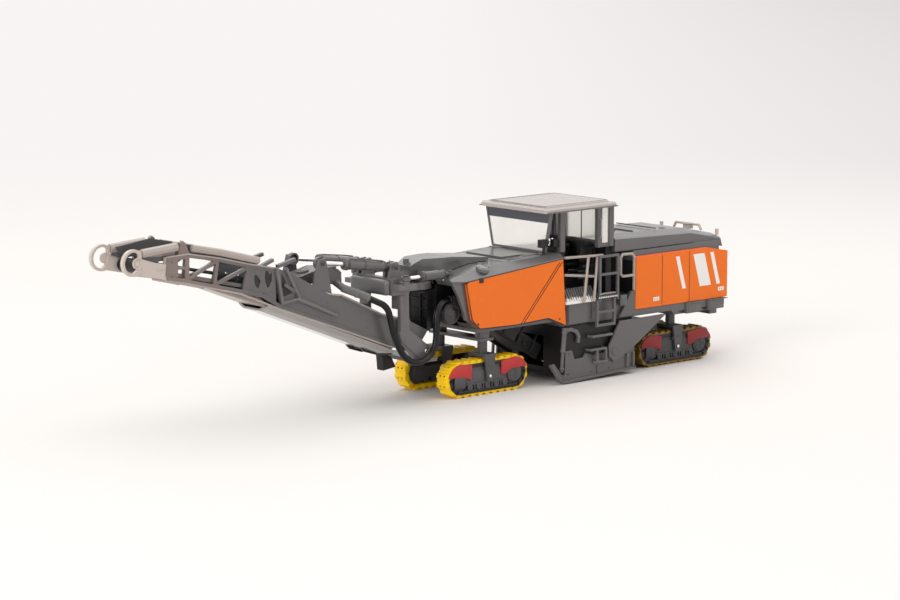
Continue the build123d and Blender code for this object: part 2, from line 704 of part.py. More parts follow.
# Stations of the engine hood's faceted top: x, lower edge, side edge
engine_stations = (
    (well_rear_x - fit, deck_z + 0.2, engine_hood_z), (-84.0, deck_z + 0.1, engine_hood_z - 0.8),
    (tail_x + 1.1, deck_z - 1.4, deck_z + 0.7), (tail_x + 0.4, deck_z - 1.9, deck_z - 1.4))
with BuildPart() as engine_hood:
    for x, low_z, edge_z in engine_stations:
        with BuildSketch(Plane(origin=(x, 0, 0), x_dir=(0, 1, 0), z_dir=(1, 0, 0))):
            with BuildLine():
                Polyline(
                    (-engine_hood_half, low_z), (-engine_hood_half, edge_z - 0.4), (-engine_hood_half + 0.5, edge_z),
                    (-7.5, edge_z + hood_crown), (7.5, edge_z + hood_crown), (engine_hood_half - 0.5, edge_z),
                    (engine_hood_half, edge_z - 0.4), (engine_hood_half, low_z), close=True)
            make_face()
    loft(ruled=True)
    box_between((tail_x + 2.3, -frame_half, block_top_z + fit), (quarter_x, frame_half, deck_z))
    box_between((-63.5, -3.2, engine_hood_z), (-58.5, 3.2, engine_hood_z + hood_crown + 0.3))
write(engine_hood, "engine_hood")

quarter_outline = (
    (-56.0, 15.0), (-60.4, 21.4), (quarter_x + fit, 21.6), (quarter_x + fit, tail_box_low_z - fit),
    (tail_x + 1.0, tail_box_low_z - fit), (tail_x + 1.0, beam_z + 1.1), (-78.0, beam_z + 1.1), (-77.6, beam_z + 0.2),
    (-76.4, beam_z + 0.2), (-75.2, sill_z + 0.2))
quarter_in = frame_half + fit
# Boxes hung on the strip behind the quarter panels: rear x, front x, low z, reach
locker_rows = ((-86.0, -80.5, 13.5, 0.5), (-94.6, -88.6, 13.7, 0.5))
with BuildPart() as quarters:
    side_pair(quarter_outline, quarter_in, deck_half + 0.2)
    for rear_x, front_x, low_z, reach in locker_rows:
        box_pair((rear_x, quarter_in, low_z), (front_x, body_half + reach, tail_box_low_z - fit))
write(quarters, "quarter_panels")

# Carrier arms, each with a round boss at its lower end
arm_outline = (
    (-55.2, 14.3), (-51.2, 7.9), (-51.3, 5.6), (-53.2, 3.9), (-55.5, 4.6), (-61.7, 7.9), (-72.1, 14.4))
arm_in = side_out + fit
with BuildPart() as arms:
    side_pair(arm_outline, arm_in, arm_in + arm_thick)
    for way in (-1, 1):
        bar((-53.4, way * (arm_in + arm_thick), 6.7), (-53.4, way * (arm_in + arm_thick + 0.2), 6.7), 1.1, 12)
write(arms, "carrier_arms")

with BuildPart() as tail_bow:
    for way in (-1, 1):
        across_y = way * (engine_hood_half - 0.8)
        box_between((tail_x + 1.3, across_y - 0.3, deck_z + 1.1), (tail_x + 2.1, across_y + 0.3, deck_z + 2.8))
    bar((-93.0, 1.2, 33.9), (-93.0, 1.2, 34.9), 1.4, 12)
    rail([(-93.0, -4.0, 33.9), (-93.0, -3.2, 35.2), (-93.0, 5.2, 35.2), (-93.0, 6.0, 33.9)], 0.35)
write(tail_bow, "tail_bow")


# Railings and ladders on both sides

with BuildPart() as railings:
    rail_pair([(well_front_x - fit, rail_y, 32.3), (-49.7, rail_y, 31.8)])
    rail_pair([(well_front_x - fit, rail_y, 27.9), (-46.9, rail_y, 26.6)])
    rail_pair([(-44.6, rail_y, 31.9), (-42.1, rail_foot_y, floor_low_z)])
    rail_pair([(-47.8, rail_y, 31.8), (-45.6, rail_foot_y, floor_low_z)])
    rail_pair([(-61.1, rail_y, 21.7), (-61.1, rail_y, 30.6), (-60.1, rail_y, 31.3), (-56.8, rail_y, 31.3),
               (-56.2, rail_y, 30.6), (-56.2, rail_y, 26.3), (-57.0, rail_y, 25.6), (-61.1, rail_y, 25.6)])
write(railings, "railings")

# Ladder runs: front post x, rear post x, top z, foot z and rung heights
ladder_runs = (
    (-46.9, -53.0, 20.6, 13.6, (17.4, 14.0)), (-47.8, -54.2, 31.9, 20.2, (31.6, 27.0, 21.2)))
# Steps below them: front x, rear x, z and the face that carries each
side_steps = (
    (-44.8, -52.2, 11.3, side_in), (-44.2, -50.0, 7.9, side_in), (-46.2, -50.3, 4.6, side_out + fit))
step_out = side_out + step_reach - rail_r
with BuildPart() as ladders:
    for front_x, rear_x, top_z, foot_z_, rungs in ladder_runs:
        for post_x in (front_x, rear_x):
            box_pair((post_x - 0.3, ladder_y - ladder_post / 2, foot_z_), (post_x + 0.3, ladder_y + ladder_post / 2, top_z))
        for rung_z in rungs:
            box_pair((rear_x, ladder_y - 0.3, rung_z - 0.3), (front_x, ladder_y + 0.4, rung_z + 0.3))
    for stub_x in (-47.9, -53.6):
        box_pair((stub_x - 0.5, deck_half, floor_low_z - 0.2), (stub_x + 0.5, ladder_y, floor_z - 0.2))
    for front_x, rear_x, step_z, root_y in side_steps:
        rail_pair([(front_x, root_y, step_z), (front_x - 0.3, step_out, step_z), (rear_x + 0.3, step_out, step_z),
                   (rear_x, root_y, step_z)])
    for post_x in (-46.7, -49.8):
        box_pair((post_x - 0.3, step_out - 0.3, 4.6), (post_x + 0.3, step_out + 0.3, 7.9))
write(ladders, "ladders")

# Gratings: a tread beside the deck and a row of slanting slats above it
grating_x = (-47.0, -36.6)
grating_in = deck_half + fit
with BuildPart() as gratings:
    box_pair((grating_x[0], grating_in, floor_low_z - 0.1), (grating_x[1], body_half + 0.5, floor_z - fit))
    box_pair((-52.6, grating_in + 0.4, floor_z - 0.1), (-47.6, body_half + 0.5, floor_z + 0.3))
    rib_pitch = (grating_x[1] - grating_x[0] - 1.2) / (grating_ribs - 1)
    for rib in range(grating_ribs):
        rib_x = grating_x[0] + 0.6 + rib * rib_pitch
        for way in (-1, 1):
            with BuildSketch(Plane(origin=(rib_x, 0, 0), x_dir=(0, 1, 0), z_dir=(1, 0, 0))):
                with BuildLine():
                    Polyline((way * (body_half + 0.5), floor_low_z - 0.1), (way * (body_half + 0.5), floor_z + 0.1),
                             (way * 11.4, 24.2), (way * 11.0, 24.0), (way * 11.6, floor_z + fit / 2),
                             (way * grating_in, floor_z + fit / 2), (way * grating_in, floor_low_z - 0.1), close=True)
                make_face()
            extrude(amount=0.22, both=True)
write(gratings, "gratings")


# Slewing bracket: two bent posts, a beam, the ring round the spout and the head blocks of the lift cylinders

plate_top_z = 30.1
lug_in = lift_cylinder_y + eye_half + fit
lug_wall = 0.7
post_front_x = 14.6
post_rear_x = 11.7
post_outline = (
    (5.0, lower_plate_z), (8.6, lower_plate_z), (13.5, 15.0), (post_front_x, 18.0), (post_front_x, plate_top_z),
    (post_rear_x, plate_top_z), (post_rear_x - 0.3, 18.5), (5.2, 14.0), (4.6, 12.9))
lug_outline = (
    (12.9, plate_top_z), (16.9, plate_top_z), (16.6, 33.0), (16.2, 35.2), (14.2, 35.4), (13.2, 33.6))
flange_low_z = 23.8
with BuildPart() as bracket:
    side_pair(post_outline, post_in, post_half)
    box_pair((post_front_x - post_wall, post_half - 3.0, flange_low_z), (post_front_x, post_half, plate_top_z))
    for way in (-1, 1):
        bar((lift_x, way * (boom_in - gap), lift_z), (lift_x, way * (post_half + 0.15), lift_z), lift_pin_r)
        pin_y = way * slew_cylinder_y
        bar((slew_front_x, pin_y, plate_top_z - 0.5), (slew_front_x, pin_y, slew_boss_z), boss_r, 10)
        bar((slew_front_x, pin_y, plate_top_z - 0.5), (slew_front_x, pin_y, slew_cylinder_z + eye_half), eye_pin_r)
        bar((lift_rear[0], way * (lift_cylinder_y - eye_half - fit - lug_wall), lift_rear[1]),
            (lift_rear[0], way * (lug_in + lug_wall), lift_rear[1]), eye_pin_r)
    side_pair(lug_outline, lug_in, lug_in + lug_wall)
    side_pair(lug_outline, lift_cylinder_y - eye_half - fit - lug_wall, lift_cylinder_y - eye_half - fit)
    box_between((post_rear_x - 0.3, -slew_cylinder_y - boss_r, ring_z + ring_thick - 0.2),
                (17.0, slew_cylinder_y + boss_r, plate_top_z))
    box_between((post_front_x + 0.2, -post_half, ring_z), (16.9, post_half, 31.4))
    box_between((post_rear_x - 0.3, -post_half, ring_z), (post_front_x + 0.2, post_half, ring_z + ring_thick))
    box_between((slew_x, -4.6, ring_z), (post_rear_x, 4.6, ring_z + ring_thick))
    bar((slew_x, 0, ring_z), (slew_x, 0, ring_z + ring_thick), chute_r + fit + ring_wall, 32)
    bar((slew_x, 0, ring_z - 1), (slew_x, 0, ring_z + ring_thick + 1), chute_r + fit, mode=Mode.SUBTRACT)
    box_between((slew_x - 1.6, -post_half, lower_plate_z), (8.6, post_half, lower_plate_z + lower_plate_thick))
    bar((slew_x, 0, lower_plate_z - 1), (slew_x, 0, lower_plate_z + 2), slew_pin_r + fit, mode=Mode.SUBTRACT)
write(bracket, "slew_bracket")


# Discharge conveyor: plate girders below, a truss above, ring ends at the tip

sheet_outline = (
    (4.4, 17.5), (6.4, 15.1), (9.0, 16.3), (5.2, 13.5), (4.9, 12.4), (5.7, 11.6), (7.0, 11.6), (15.6, 14.5),
    (35.4, 21.9), (50.4, 27.6), (52.6, 37.8), (47.8, 35.9), (35.4, 29.5), (32.2, 28.9), (19.6, 23.0), (10.4, 20.5))
top_rail_line = ((10.6, 20.4), (19.6, 22.9), (32.0, 28.8))
foot_line = ((15.8, 14.9), (35.4, 22.3), (50.5, 28.0), (56.0, 31.3), (62.8, 33.1), (78.7, 37.0), (84.6, 38.2))
top_chord = ((51.8, 37.0), (60.1, 38.8), (69.2, 41.1), (77.8, 42.8), (84.4, 42.6))
# Uprights of the truss: top and foot
uprights = (((60.1, 38.4), (61.5, 33.1)), ((69.2, 41.0), (70.1, 35.3)), ((77.8, 42.7), (77.9, 37.2)))
girder_end = ((52.0, 28.8), (52.2, 37.2), (60.3, 38.9), (61.6, 33.1), (56.0, 31.2))
teardrops = (((57.4, 33.1), (58.2, 34.6), (57.7, 36.3), (56.6, 34.8)), ((54.7, 33.0), (55.3, 35.0), (53.2, 36.6), (53.4, 34.2)))
head_plate = ((77.8, 37.0), (84.8, 38.0), (84.4, 42.6), (77.8, 42.9))
head_windows = (((80.7, 37.9), (80.7, 39.8), (78.6, 39.7), (78.6, 37.6)), ((80.7, 40.4), (80.7, 42.0), (78.6, 42.1), (78.6, 40.3)))
tip_plate = ((84.2, 41.4), (84.7, 37.9), (91.6, 39.4), (93.6, 39.8), (92.2, 40.8), (91.4, 43.4), (87.8, 42.2))
gusset = ((80.8, 42.6), (79.9, 45.9), (79.3, 46.4), (78.6, 45.9), (77.0, 42.6))
hoop = (((52.1, 37.7), (50.4, 29.0), (45.2, 29.6), (49.3, 37.2)), ((49.8, 33.4), (46.6, 31.4)), ((45.2, 29.6), (33.6, 24.3)))
lugs = (((56.7, 38.2), (52.9, 39.5)), ((51.6, 37.8), (46.2, 39.0)))
girder_end_x = 52.3
with BuildPart() as conveyor_frame:
    side_pair(sheet_outline, boom_in, boom_half)
    side_pair(girder_end, boom_in, boom_half)
    for outline in teardrops:
        side_pair(outline, boom_in - 1, boom_half + 1, mode=Mode.SUBTRACT)
    side_pair(head_plate, boom_in, boom_half)
    for outline in head_windows:
        side_pair(outline, boom_in - 1, boom_half + 1, mode=Mode.SUBTRACT)
    side_pair(tip_plate, boom_in, boom_half + 0.2)
    side_pair(gusset, boom_in - 0.2, boom_half)
    strip_pair(top_chord, chord_width, boom_in, boom_half + 0.15)
    strip_pair(foot_line, chord_width, boom_in, boom_half + 0.25)
    strip_pair(top_rail_line, 0.7, boom_in, boom_half + 0.4)
    for top, foot in uprights:
        strip_pair((top, foot), web_width, boom_in, boom_half)
    for (foot, top) in zip((uprights[1][1], uprights[2][1]), (uprights[0][0], uprights[1][0])):
        strip_pair((foot, top), web_width, boom_in, boom_half)
    for line in hoop:
        strip_pair(line, web_width, boom_half, boom_half + 0.5)
    for line in lugs:
        strip_pair(line, web_width, boom_in, boom_half + 0.3)
    # C-shaped ring at each tip, closed by an upright behind
    for way in (-1, 1):
        with BuildSketch(Plane.XZ.offset(-way * boom_in)):
            with Locations((ring_x, ring_mid_z)):
                Circle(ring_r)
                Circle(ring_r - ring_band, mode=Mode.SUBTRACT)
            with Locations((ring_x - 2.2 - ring_r, ring_mid_z)):
                Rectangle(2 * ring_r, 3 * ring_r, mode=Mode.SUBTRACT)
        extrude(amount=-way * (boom_wall + 0.3))
    strip_pair(((91.4, 43.2), (91.4, 45.1)), ring_band, boom_in, boom_half + 0.3)
    # Bed under the belt, and the pins of the lift rods
    bed = [(x, z - bed_thick / 2) for x, z in (belt_tail, belt_bend, belt_head)]
    with BuildSketch(Plane.XZ):
        with BuildLine():
            Polyline((13.0, 17.2), bed[1], (84.0, 39.2))
        trace(line_width=bed_thick)
    extrude(amount=boom_in - fit, both=True)
    for way in (-1, 1):
        bar((lift_front[0], way * (lift_cylinder_y - eye_half), lift_front[1]),
            (lift_front[0], way * boom_half, lift_front[1]), eye_pin_r)
        with Locations(Location((lift_x, way * (boom_in + boom_wall / 2), lift_z), (90, 0, 0))):
            Cylinder(lift_pin_r + fit, boom_wall + 0.2, mode=Mode.SUBTRACT)
    side_pair(((40.6, 32.0), (38.9, 38.2), (36.8, 38.4), (35.0, 29.6)), boom_in, boom_half)
write(conveyor_frame, "conveyor_frame")

belt_route = Polyline(belt_tail, belt_bend, belt_head)
with BuildPart() as conveyor_belt:
    with BuildSketch(Plane.XZ):
        SlotArc(belt_route, belt_depth)
        SlotArc(belt_route, belt_depth - 2 * belt_skin, mode=Mode.SUBTRACT)
    extrude(amount=belt_half, both=True)
write(conveyor_belt, "conveyor_belt")

head_r = belt_depth / 2 - belt_skin - fit
with BuildPart() as head_drum:
    bar((belt_head[0], fit - boom_in, belt_head[1]), (belt_head[0], boom_in - fit, belt_head[1]), head_r, 16)
write(head_drum, "head_drum")

# Bright trough under the plate girders, with the dark flap at its lower end
trough_low = (14.9, 13.6)
trough_high = (54.0, 28.9)
trough_line = Vector(trough_high[0] - trough_low[0], trough_high[1] - trough_low[1])
trough_plane = Plane(
    origin=(trough_low[0], 0, trough_low[1]), z_dir=(trough_line.X, 0, trough_line.Y), x_dir=(0, 1, 0))
trough_wall = 0.5
trough_points = [(boom_half, 0), (boom_half - 1.6, -0.62 * trough_depth), (3.0, -trough_depth)]
with BuildPart() as trough:
    outer = [(-y, z) for y, z in trough_points] + [(y, z) for y, z in reversed(trough_points)]
    inner = [(y * (1 - trough_wall / boom_half), z + (trough_wall if z else 0)) for y, z in reversed(outer)]
    with BuildSketch(trough_plane):
        with BuildLine():
            Polyline(*outer, *inner, close=True)
        make_face()
    extrude(amount=trough_line.length)
    across(((14.9, 12.4), (14.4, 7.9), (10.4, 8.4), (11.9, 11.2), (15.9, 12.9)), 2.6)
write(trough, "conveyor_trough")

# Extraction duct: a hump on the belt with a branch to the hose
with BuildPart() as fan_cover:
    across(((29.2, 31.0), (29.3, 34.0), (30.4, 34.9), (35.1, 35.6), (41.4, 34.2), (44.5, 33.8), (44.5, 32.7)), 3.0)
    rail([(31.0, 5.9, 30.5), (28.2, 7.6, 29.2), (25.2, 8.4, 27.8)], 0.9)
    bar((31.0, 2.6, 31.8), (31.0, 6.2, 30.4), 0.9, 8)
write(fan_cover, "fan_cover")

# Tubes along the tops of both sides, and the sheets under the front ones
tube_y = boom_in + 0.5
with BuildPart() as belt_cover:
    for way in (-1, 1):
        rail([(76.6, way * tube_y, 44.4), (68.2, way * tube_y, 42.6), (57.2, way * tube_y, 39.7)], guard_tube_r)
        rail([(90.9, way * tube_y, 44.4), (81.0, way * tube_y, 45.1)], guard_tube_r + 0.15)
    side_pair(((90.9, 43.5), (90.9, 44.2), (80.9, 45.2), (80.9, 42.9), (84.4, 43.2)), boom_in - 0.3, boom_in)
write(belt_cover, "belt_cover")


# Lift and slew cylinders, each a bored barrel and a rod with an open eye

lift_line = Vector(lift_front[0] - lift_rear[0], 0, lift_front[1] - lift_rear[1])
lift_length = lift_line.length
slew_length = slew_front_x - slew_rear_x
neck = 2.2


def cylinder_pair(name, rear, along, hinge, length, barrel_r, rod_r, drift, travel_in):
    """Barrel and rod between two pins: rear is the barrel's pin, along the rod's way out, hinge the pins' axis."""
    base = Vector(*rear)
    front = base + along * length
    mouth = 0.66 * length
    bore_start = neck + 0.5
    with BuildPart() as barrel:
        bar(base + along * (eye_pin_r + fit), base + along * (neck + 0.5), 0.9 * eye_half, 10)
        bar(base + along * neck, base + along * mouth, barrel_r, 14)
        bar(base + along * (mouth - 1.0), base + along * mouth, barrel_r + 0.15, 14)
        bar(base - hinge * eye_half, base + hinge * eye_half, eye_pin_r + eye_wall, 12)
        bar(base + along * bore_start, base + along * (mouth + 1), rod_r + fit, 10, Mode.SUBTRACT)
        bar(base - hinge * 2, base + hinge * 2, eye_pin_r + fit / 2, mode=Mode.SUBTRACT)
    write(barrel, name.replace("cylinder", "barrel"))
    with BuildPart() as rod:
        eye_hole = eye_pin_r + drift
        bar(base + along * (bore_start + travel_in + fit), front - along * (eye_hole + eye_wall / 2), rod_r, 10)
        bar(front - hinge * eye_half, front + hinge * eye_half, eye_hole + eye_wall, 12)
        bar(front - hinge * 1, front + hinge * 1, eye_hole, mode=Mode.SUBTRACT)
    write(rod, name.replace("cylinder", "rod"))


for side_name, side in (("left", 1), ("right", -1)):
    cylinder_pair(f"lift_cylinder_{side_name}", (lift_rear[0], side * lift_cylinder_y, lift_rear[1]),
                  lift_line.normalized(), Vector(0, 1, 0), lift_length, lift_barrel_r, lift_rod_r, lift_drift, 2.8)
    cylinder_pair(f"slew_cylinder_{side_name}", (slew_rear_x, side * slew_cylinder_y, slew_cylinder_z),
                  Vector(1, 0, 0), Vector(0, 0, 1), slew_length, slew_barrel_r, slew_rod_r, slew_drift, 3.0)


# Extraction hose, from the fan down in a loop and up to the duct, in two lengths that meet at the loop's bottom

hose_points = {
    "hose_rear": ((-1.4, 8.2, 24.8), (0.8, 8.3, 24.8), (2.67, 8.5, 23.4), (3.8, 8.7, 21.3), (3.85, 8.9, 17.3),
                  (4.26, 9.0, 13.9), (5.9, 9.0, 11.65), (8.4, 9.0, 10.47), (9.9, 9.0, 10.47)),
    "hose_front": ((9.9, 9.0, 10.47), (11.4, 9.0, 10.47), (13.9, 9.0, 11.8), (15.7, 9.0, 13.9), (17.3, 9.0, 16.9),
                   (18.6, 9.0, 20.9), (19.4, 9.0, 24.2), (20.9, 9.0, 25.8), (22.9, 9.0, 26.7), (25.2, 8.4, 27.8)),
}


def corner_radii(points):
    """Radius of the arc at each inner point, as large as its two runs allow."""
    radii = []
    for before, here, after in zip(points, points[1:], points[2:]):
        one = Vector(*here) - Vector(*before)
        two = Vector(*after) - Vector(*here)
        half_turn = radians(one.get_angle(two)) / 2
        radii.append(0.45 * min(one.length, two.length) / tan(half_turn))
    return radii


for hose_name, points in hose_points.items():
    with BuildPart() as hose:
        with BuildLine() as hose_line:
            FilletPolyline(*points, radius=corner_radii(points))
        with BuildSketch(Plane(origin=points[0], z_dir=hose_line.line % 0)) as hose_section:
            RegularPolygon(hose_r, 8)
        sweep(path=hose_line.line)
    length = sum(edge.length for edge in hose_line.edges())
    share = hose.part.volume / (hose_section.sketch.area * length)
    print(hose_name, "length", round(length, 2), "volume share", round(share, 4),
          "radii", [round(r, 1) for r in corner_radii(points)])
    write(hose, hose_name)
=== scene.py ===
"""Dresses the model of a cold planer: plastics, track shoes, cab and body fittings, hose, light and camera."""

from math import cos, pi, radians, sin

import bpy
from bpy.props import FloatProperty, FloatVectorProperty, PointerProperty
from mathutils import Matrix, Vector


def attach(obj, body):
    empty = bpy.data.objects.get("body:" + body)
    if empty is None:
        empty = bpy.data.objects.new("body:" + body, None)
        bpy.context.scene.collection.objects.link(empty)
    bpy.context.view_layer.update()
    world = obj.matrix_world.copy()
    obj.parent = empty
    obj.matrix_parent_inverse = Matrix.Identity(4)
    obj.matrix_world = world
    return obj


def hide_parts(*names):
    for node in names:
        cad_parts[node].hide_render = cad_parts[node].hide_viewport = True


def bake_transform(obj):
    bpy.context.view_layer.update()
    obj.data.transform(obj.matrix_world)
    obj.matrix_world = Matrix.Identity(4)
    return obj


bl_info = {
    "name": "Cold planer model dressing",
    "version": (1, 0, 0),
    "blender": (4, 5, 0),
    "location": "View3D > Sidebar > Planer",
    "description": "Adds the shoes, fittings, plastics, studio light and camera of a miniature cold planer",
    "category": "Object",
}

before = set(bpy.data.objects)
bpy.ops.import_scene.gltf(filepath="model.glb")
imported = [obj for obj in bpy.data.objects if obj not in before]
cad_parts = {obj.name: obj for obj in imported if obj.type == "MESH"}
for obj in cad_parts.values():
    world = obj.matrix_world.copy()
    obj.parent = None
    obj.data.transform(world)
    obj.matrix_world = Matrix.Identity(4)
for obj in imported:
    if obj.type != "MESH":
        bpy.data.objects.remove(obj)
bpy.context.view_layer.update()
MM = 0.001
SIDES = (("left", 1), ("right", -1))
AHEAD, ACROSS, UP = (1, 0, 0), (0, 1, 0), (0, 0, 1)


def tint(red, green, blue):
    """A display colour from 0 to 255 as the linear values that a socket takes."""
    return tuple(((c / 255 + 0.055) / 1.055) ** 2.4 if c > 10 else c / 255 / 12.92 for c in (red, green, blue))


def length_setting(name, description, default):
    return FloatProperty(name=name, description=description, default=default, unit="LENGTH")


def colour_setting(name, description, *default):
    return FloatVectorProperty(name=name, description=description, subtype="COLOR", default=tint(*default))


class PlanerSizes(bpy.types.PropertyGroup):
    """Sizes of the fine detail, in metres."""

    bolt: length_setting("Bolt", "Radius of a bolt head", 0.00017)
    dimple: length_setting("Dimple", "Radius of the two hollows in a track shoe", 0.0003)
    hose: length_setting("Hose", "Radius of the extraction hose", 0.0008)
    # The pale rim along moulded edges is a painted highlight.
    edge_highlight_width: length_setting("Edge highlight", "Width of the pale rim along moulded edges", 0.00012)
    print_thick: length_setting("Print", "Thickness of a printed field", 0.00004)


class PlanerColours(bpy.types.PropertyGroup):
    """Colours of the plastics."""

    orange: colour_setting("Orange", "Side panels and tail box", 239, 112, 8)
    grey: colour_setting("Grey", "Body, girders and bracket", 94, 92, 92)
    pale: colour_setting("Pale grey", "Rails, rings and tubes", 168, 156, 149)
    # The dark is the parts' own dark plastic, darkened further as painted shade on the deep parts.
    dark: colour_setting("Dark", "Cab inside and deep parts", 27, 26, 27)
    yellow: colour_setting("Yellow", "Front track belts", 255, 206, 0)
    ochre: colour_setting("Ochre", "Rear track belts", 128, 92, 20)
    red: colour_setting("Red", "Track guards", 188, 51, 52)


# Node graphs


class Wire:
    """One output of a node. Arithmetic on it adds Math nodes."""

    def __init__(self, graph, socket):
        self.graph = graph
        self.socket = socket

    def _math(self, operation, first, second):
        return self.graph.add("ShaderNodeMath", {"operation": operation}, {0: first, 1: second})

    def __add__(self, other):
        return self._math("ADD", self, other)

    __radd__ = __add__

    def __sub__(self, other):
        return self._math("SUBTRACT", self, other)

    def __rsub__(self, other):
        return self._math("SUBTRACT", other, self)

    def __mul__(self, other):
        return self._math("MULTIPLY", self, other)

    __rmul__ = __mul__

    def __gt__(self, other):
        return self._math("GREATER_THAN", self, other)

    def __lt__(self, other):
        return self._math("LESS_THAN", self, other)

    def within(self, low, high):
        """0 below low, 1 above high, and an even ramp between."""
        return self.graph.add("ShaderNodeMapRange", {}, {"Value": self, "From Min": low, "From Max": high})


class Graph:
    """The node tree of a material or a world."""

    def __init__(self, owner):
        owner.use_nodes = True
        self.tree = owner.node_tree
        self.tree.nodes.clear()

    def add(self, kind, settings=None, values=None, out=0):
        """A node with its settings. Each of its inputs gets a constant or another node's output."""
        node = self.tree.nodes.new(kind)
        for key, value in (settings or {}).items():
            setattr(node, key, value)
        for key, value in (values or {}).items():
            if isinstance(value, Wire):
                self.tree.links.new(value.socket, node.inputs[key])
            else:
                node.inputs[key].default_value = value
        return Wire(self, node.outputs[out])

    def eyed(self):
        """1 on rays that end in the camera's view, straight, off a gloss or through glass."""
        straight, gloss, glass = (self.add("ShaderNodeLightPath", out=f"Is {kind} Ray")
                                  for kind in ("Camera", "Glossy", "Transmission"))
        return (straight + gloss + glass).within(0.0, 1.0)

    def shown(self, kind, shader):
        """The output node of that kind, with the shader on its surface."""
        out = self.tree.nodes.new(kind)
        self.tree.links.new(shader.socket, out.inputs["Surface"])


class Finish(Graph):
    """The node graph of one material."""

    def __init__(self, name):
        self.material = bpy.data.materials.new(name)
        super().__init__(self.material)
        self.place = self.add("ShaderNodeTexCoord", out="Object")

    def mix(self, share, first, second):
        first, second = ((*c, 1.0) if isinstance(c, tuple) and len(c) == 3 else c for c in (first, second))
        return self.add("ShaderNodeMix", {"data_type": "RGBA"}, {0: share, 6: first, 7: second}, 2)

    def cloud(self, size, detail=2.0):
        """Noise with features of that size, in millimetres."""
        values = {"Vector": self.place, "Scale": 1 / (size * MM), "Detail": detail}
        return self.add("ShaderNodeTexNoise", {}, values)

    def axis(self, name):
        """One coordinate of the surface, in millimetres."""
        return self.add("ShaderNodeSeparateXYZ", {}, {0: self.place}, name) * (1 / MM)

    def rims(self, gain=2.2):
        """How near a sharp edge the surface is, from 0 to 1, and the softened normal."""
        width = bpy.context.scene.planer_sizes.edge_highlight_width
        soft = self.add("ShaderNodeBevel", {"samples": 6}, {"Radius": width}, "Normal")
        flat = self.add("ShaderNodeNewGeometry", out="Normal")
        alike = self.add("ShaderNodeVectorMath", {"operation": "DOT_PRODUCT"}, {0: soft, 1: flat}, "Value")
        return ((1 - alike) * gain).within(0.0, 1.0), soft

    def relief(self, strength, depth, height, **more):
        """The normal with a fine relief, whose depth is in millimetres."""
        values = {"Strength": strength, "Distance": depth * MM, "Height": height, **more}
        return self.add("ShaderNodeBump", {}, values)

    def close(self, values):
        """The material, with a Principled shader that has its constants on its own sockets."""
        self.shown("ShaderNodeOutputMaterial", self.add("ShaderNodeBsdfPrincipled", {}, values, "BSDF"))
        return self.material


def scaled(colour, factor):
    return tuple(min(1.0, c * factor) for c in colour)


def moulded(name, colour, rough=0.4, rim=0.35, vary=0.10, grain=0.35, coat=0.0, repaint=None, shine=0.5,
            matt=None):
    """Injection moulded plastic: slow shade drift, fine grain, flow marks and a painted highlight along the
    edges. repaint changes the shade, and matt gives where the plastic has no gloss."""
    finish = Finish(name)
    rims, soft = finish.rims()
    drift = finish.cloud(14.0, 3.0)
    fine = finish.cloud(0.22, 3.0)
    flow = finish.cloud(2.6, 4.0)
    shade = finish.mix(drift, scaled(colour, 1 - vary), scaled(colour, 1 + vary))
    shade = finish.mix((flow > 0.63) * 0.12, shade, scaled(colour, 1.5))
    if repaint:
        shade = repaint(finish, shade)
    # pale is the colour of the painted highlight along the rims.
    pale = tuple(c + (1 - c) * 0.32 for c in colour)
    base = finish.mix(rims * rim, shade, pale)
    dull = rough + (drift - 0.5) * 0.12 + (fine - 0.5) * 0.10
    if matt:
        share = matt(finish)
        dull = dull + share * 0.45
        coat = (1 - share) * coat
    normal = finish.relief(grain, 0.02, fine * 0.7 + flow * 0.3, Normal=soft)
    return finish.close({"Base Color": base, "Roughness": dull, "Normal": normal, "Coat Weight": coat,
                         "Coat Roughness": 0.12, "Specular IOR Level": shine})


def bright_metal(name, colour, rough, metal=1.0, bare=None):
    """A bright coat: fine drawn lines, a little tarnish and a painted highlight along the edges. bare gives
    where the grey moulding has no coat.
    """
    finish = Finish(name)
    rims, soft = finish.rims(1.6)
    lines = finish.cloud(0.12, 2.0)
    tarnish = finish.cloud(1.8, 3.0).within(0.45, 0.8)
    base = finish.mix(tarnish * 0.35, colour, scaled(colour, 0.7))
    dull = rough + tarnish * 0.18 + (lines - 0.5) * 0.08
    normal = finish.relief(0.2, 0.01, lines, Normal=soft)
    # A painted highlight along the edges.
    base = finish.mix(rims * 0.3, base, (0.95, 0.94, 0.92))
    if bare:
        share = bare(finish)
        base = finish.mix(share, base, bpy.context.scene.planer_colours.grey[:])
        metal = (1 - share) * metal
    return finish.close({"Base Color": base, "Roughness": dull, "Metallic": metal, "Normal": normal})


def rod_eyes(finish):
    """The eyes at the ends of the lift and slew rods have no chrome."""
    slewing = (finish.axis("X") > 13.2) * (finish.axis("X") < 20.0)
    return ((finish.axis("X") > 36.6) + slewing).within(0.0, 1.0)


def grating_body(finish):
    """The silver on the lower ends of the gratings' teeth is partly their silver print and partly a painted
    highlight; above it the teeth are bare grey.
    """
    return (finish.axis("Z") + (finish.cloud(0.6, 3.0) - 0.5) * 1.4).within(21.5, 22.1)


def soft_black(name, colour, rough=0.5):
    """Soft tube and belt rubber: near black, with dust in a fine grain."""
    finish = Finish(name)
    dust = finish.cloud(1.2, 4.0).within(0.5, 0.85)
    fine = finish.cloud(0.15, 2.0)
    base = finish.mix(dust * 0.2, colour, scaled(colour, 2.2))
    normal = finish.relief(0.25, 0.02, fine)
    return finish.close({"Base Color": base, "Roughness": rough + dust * 0.15, "Normal": normal,
                         "Specular IOR Level": 0.3})


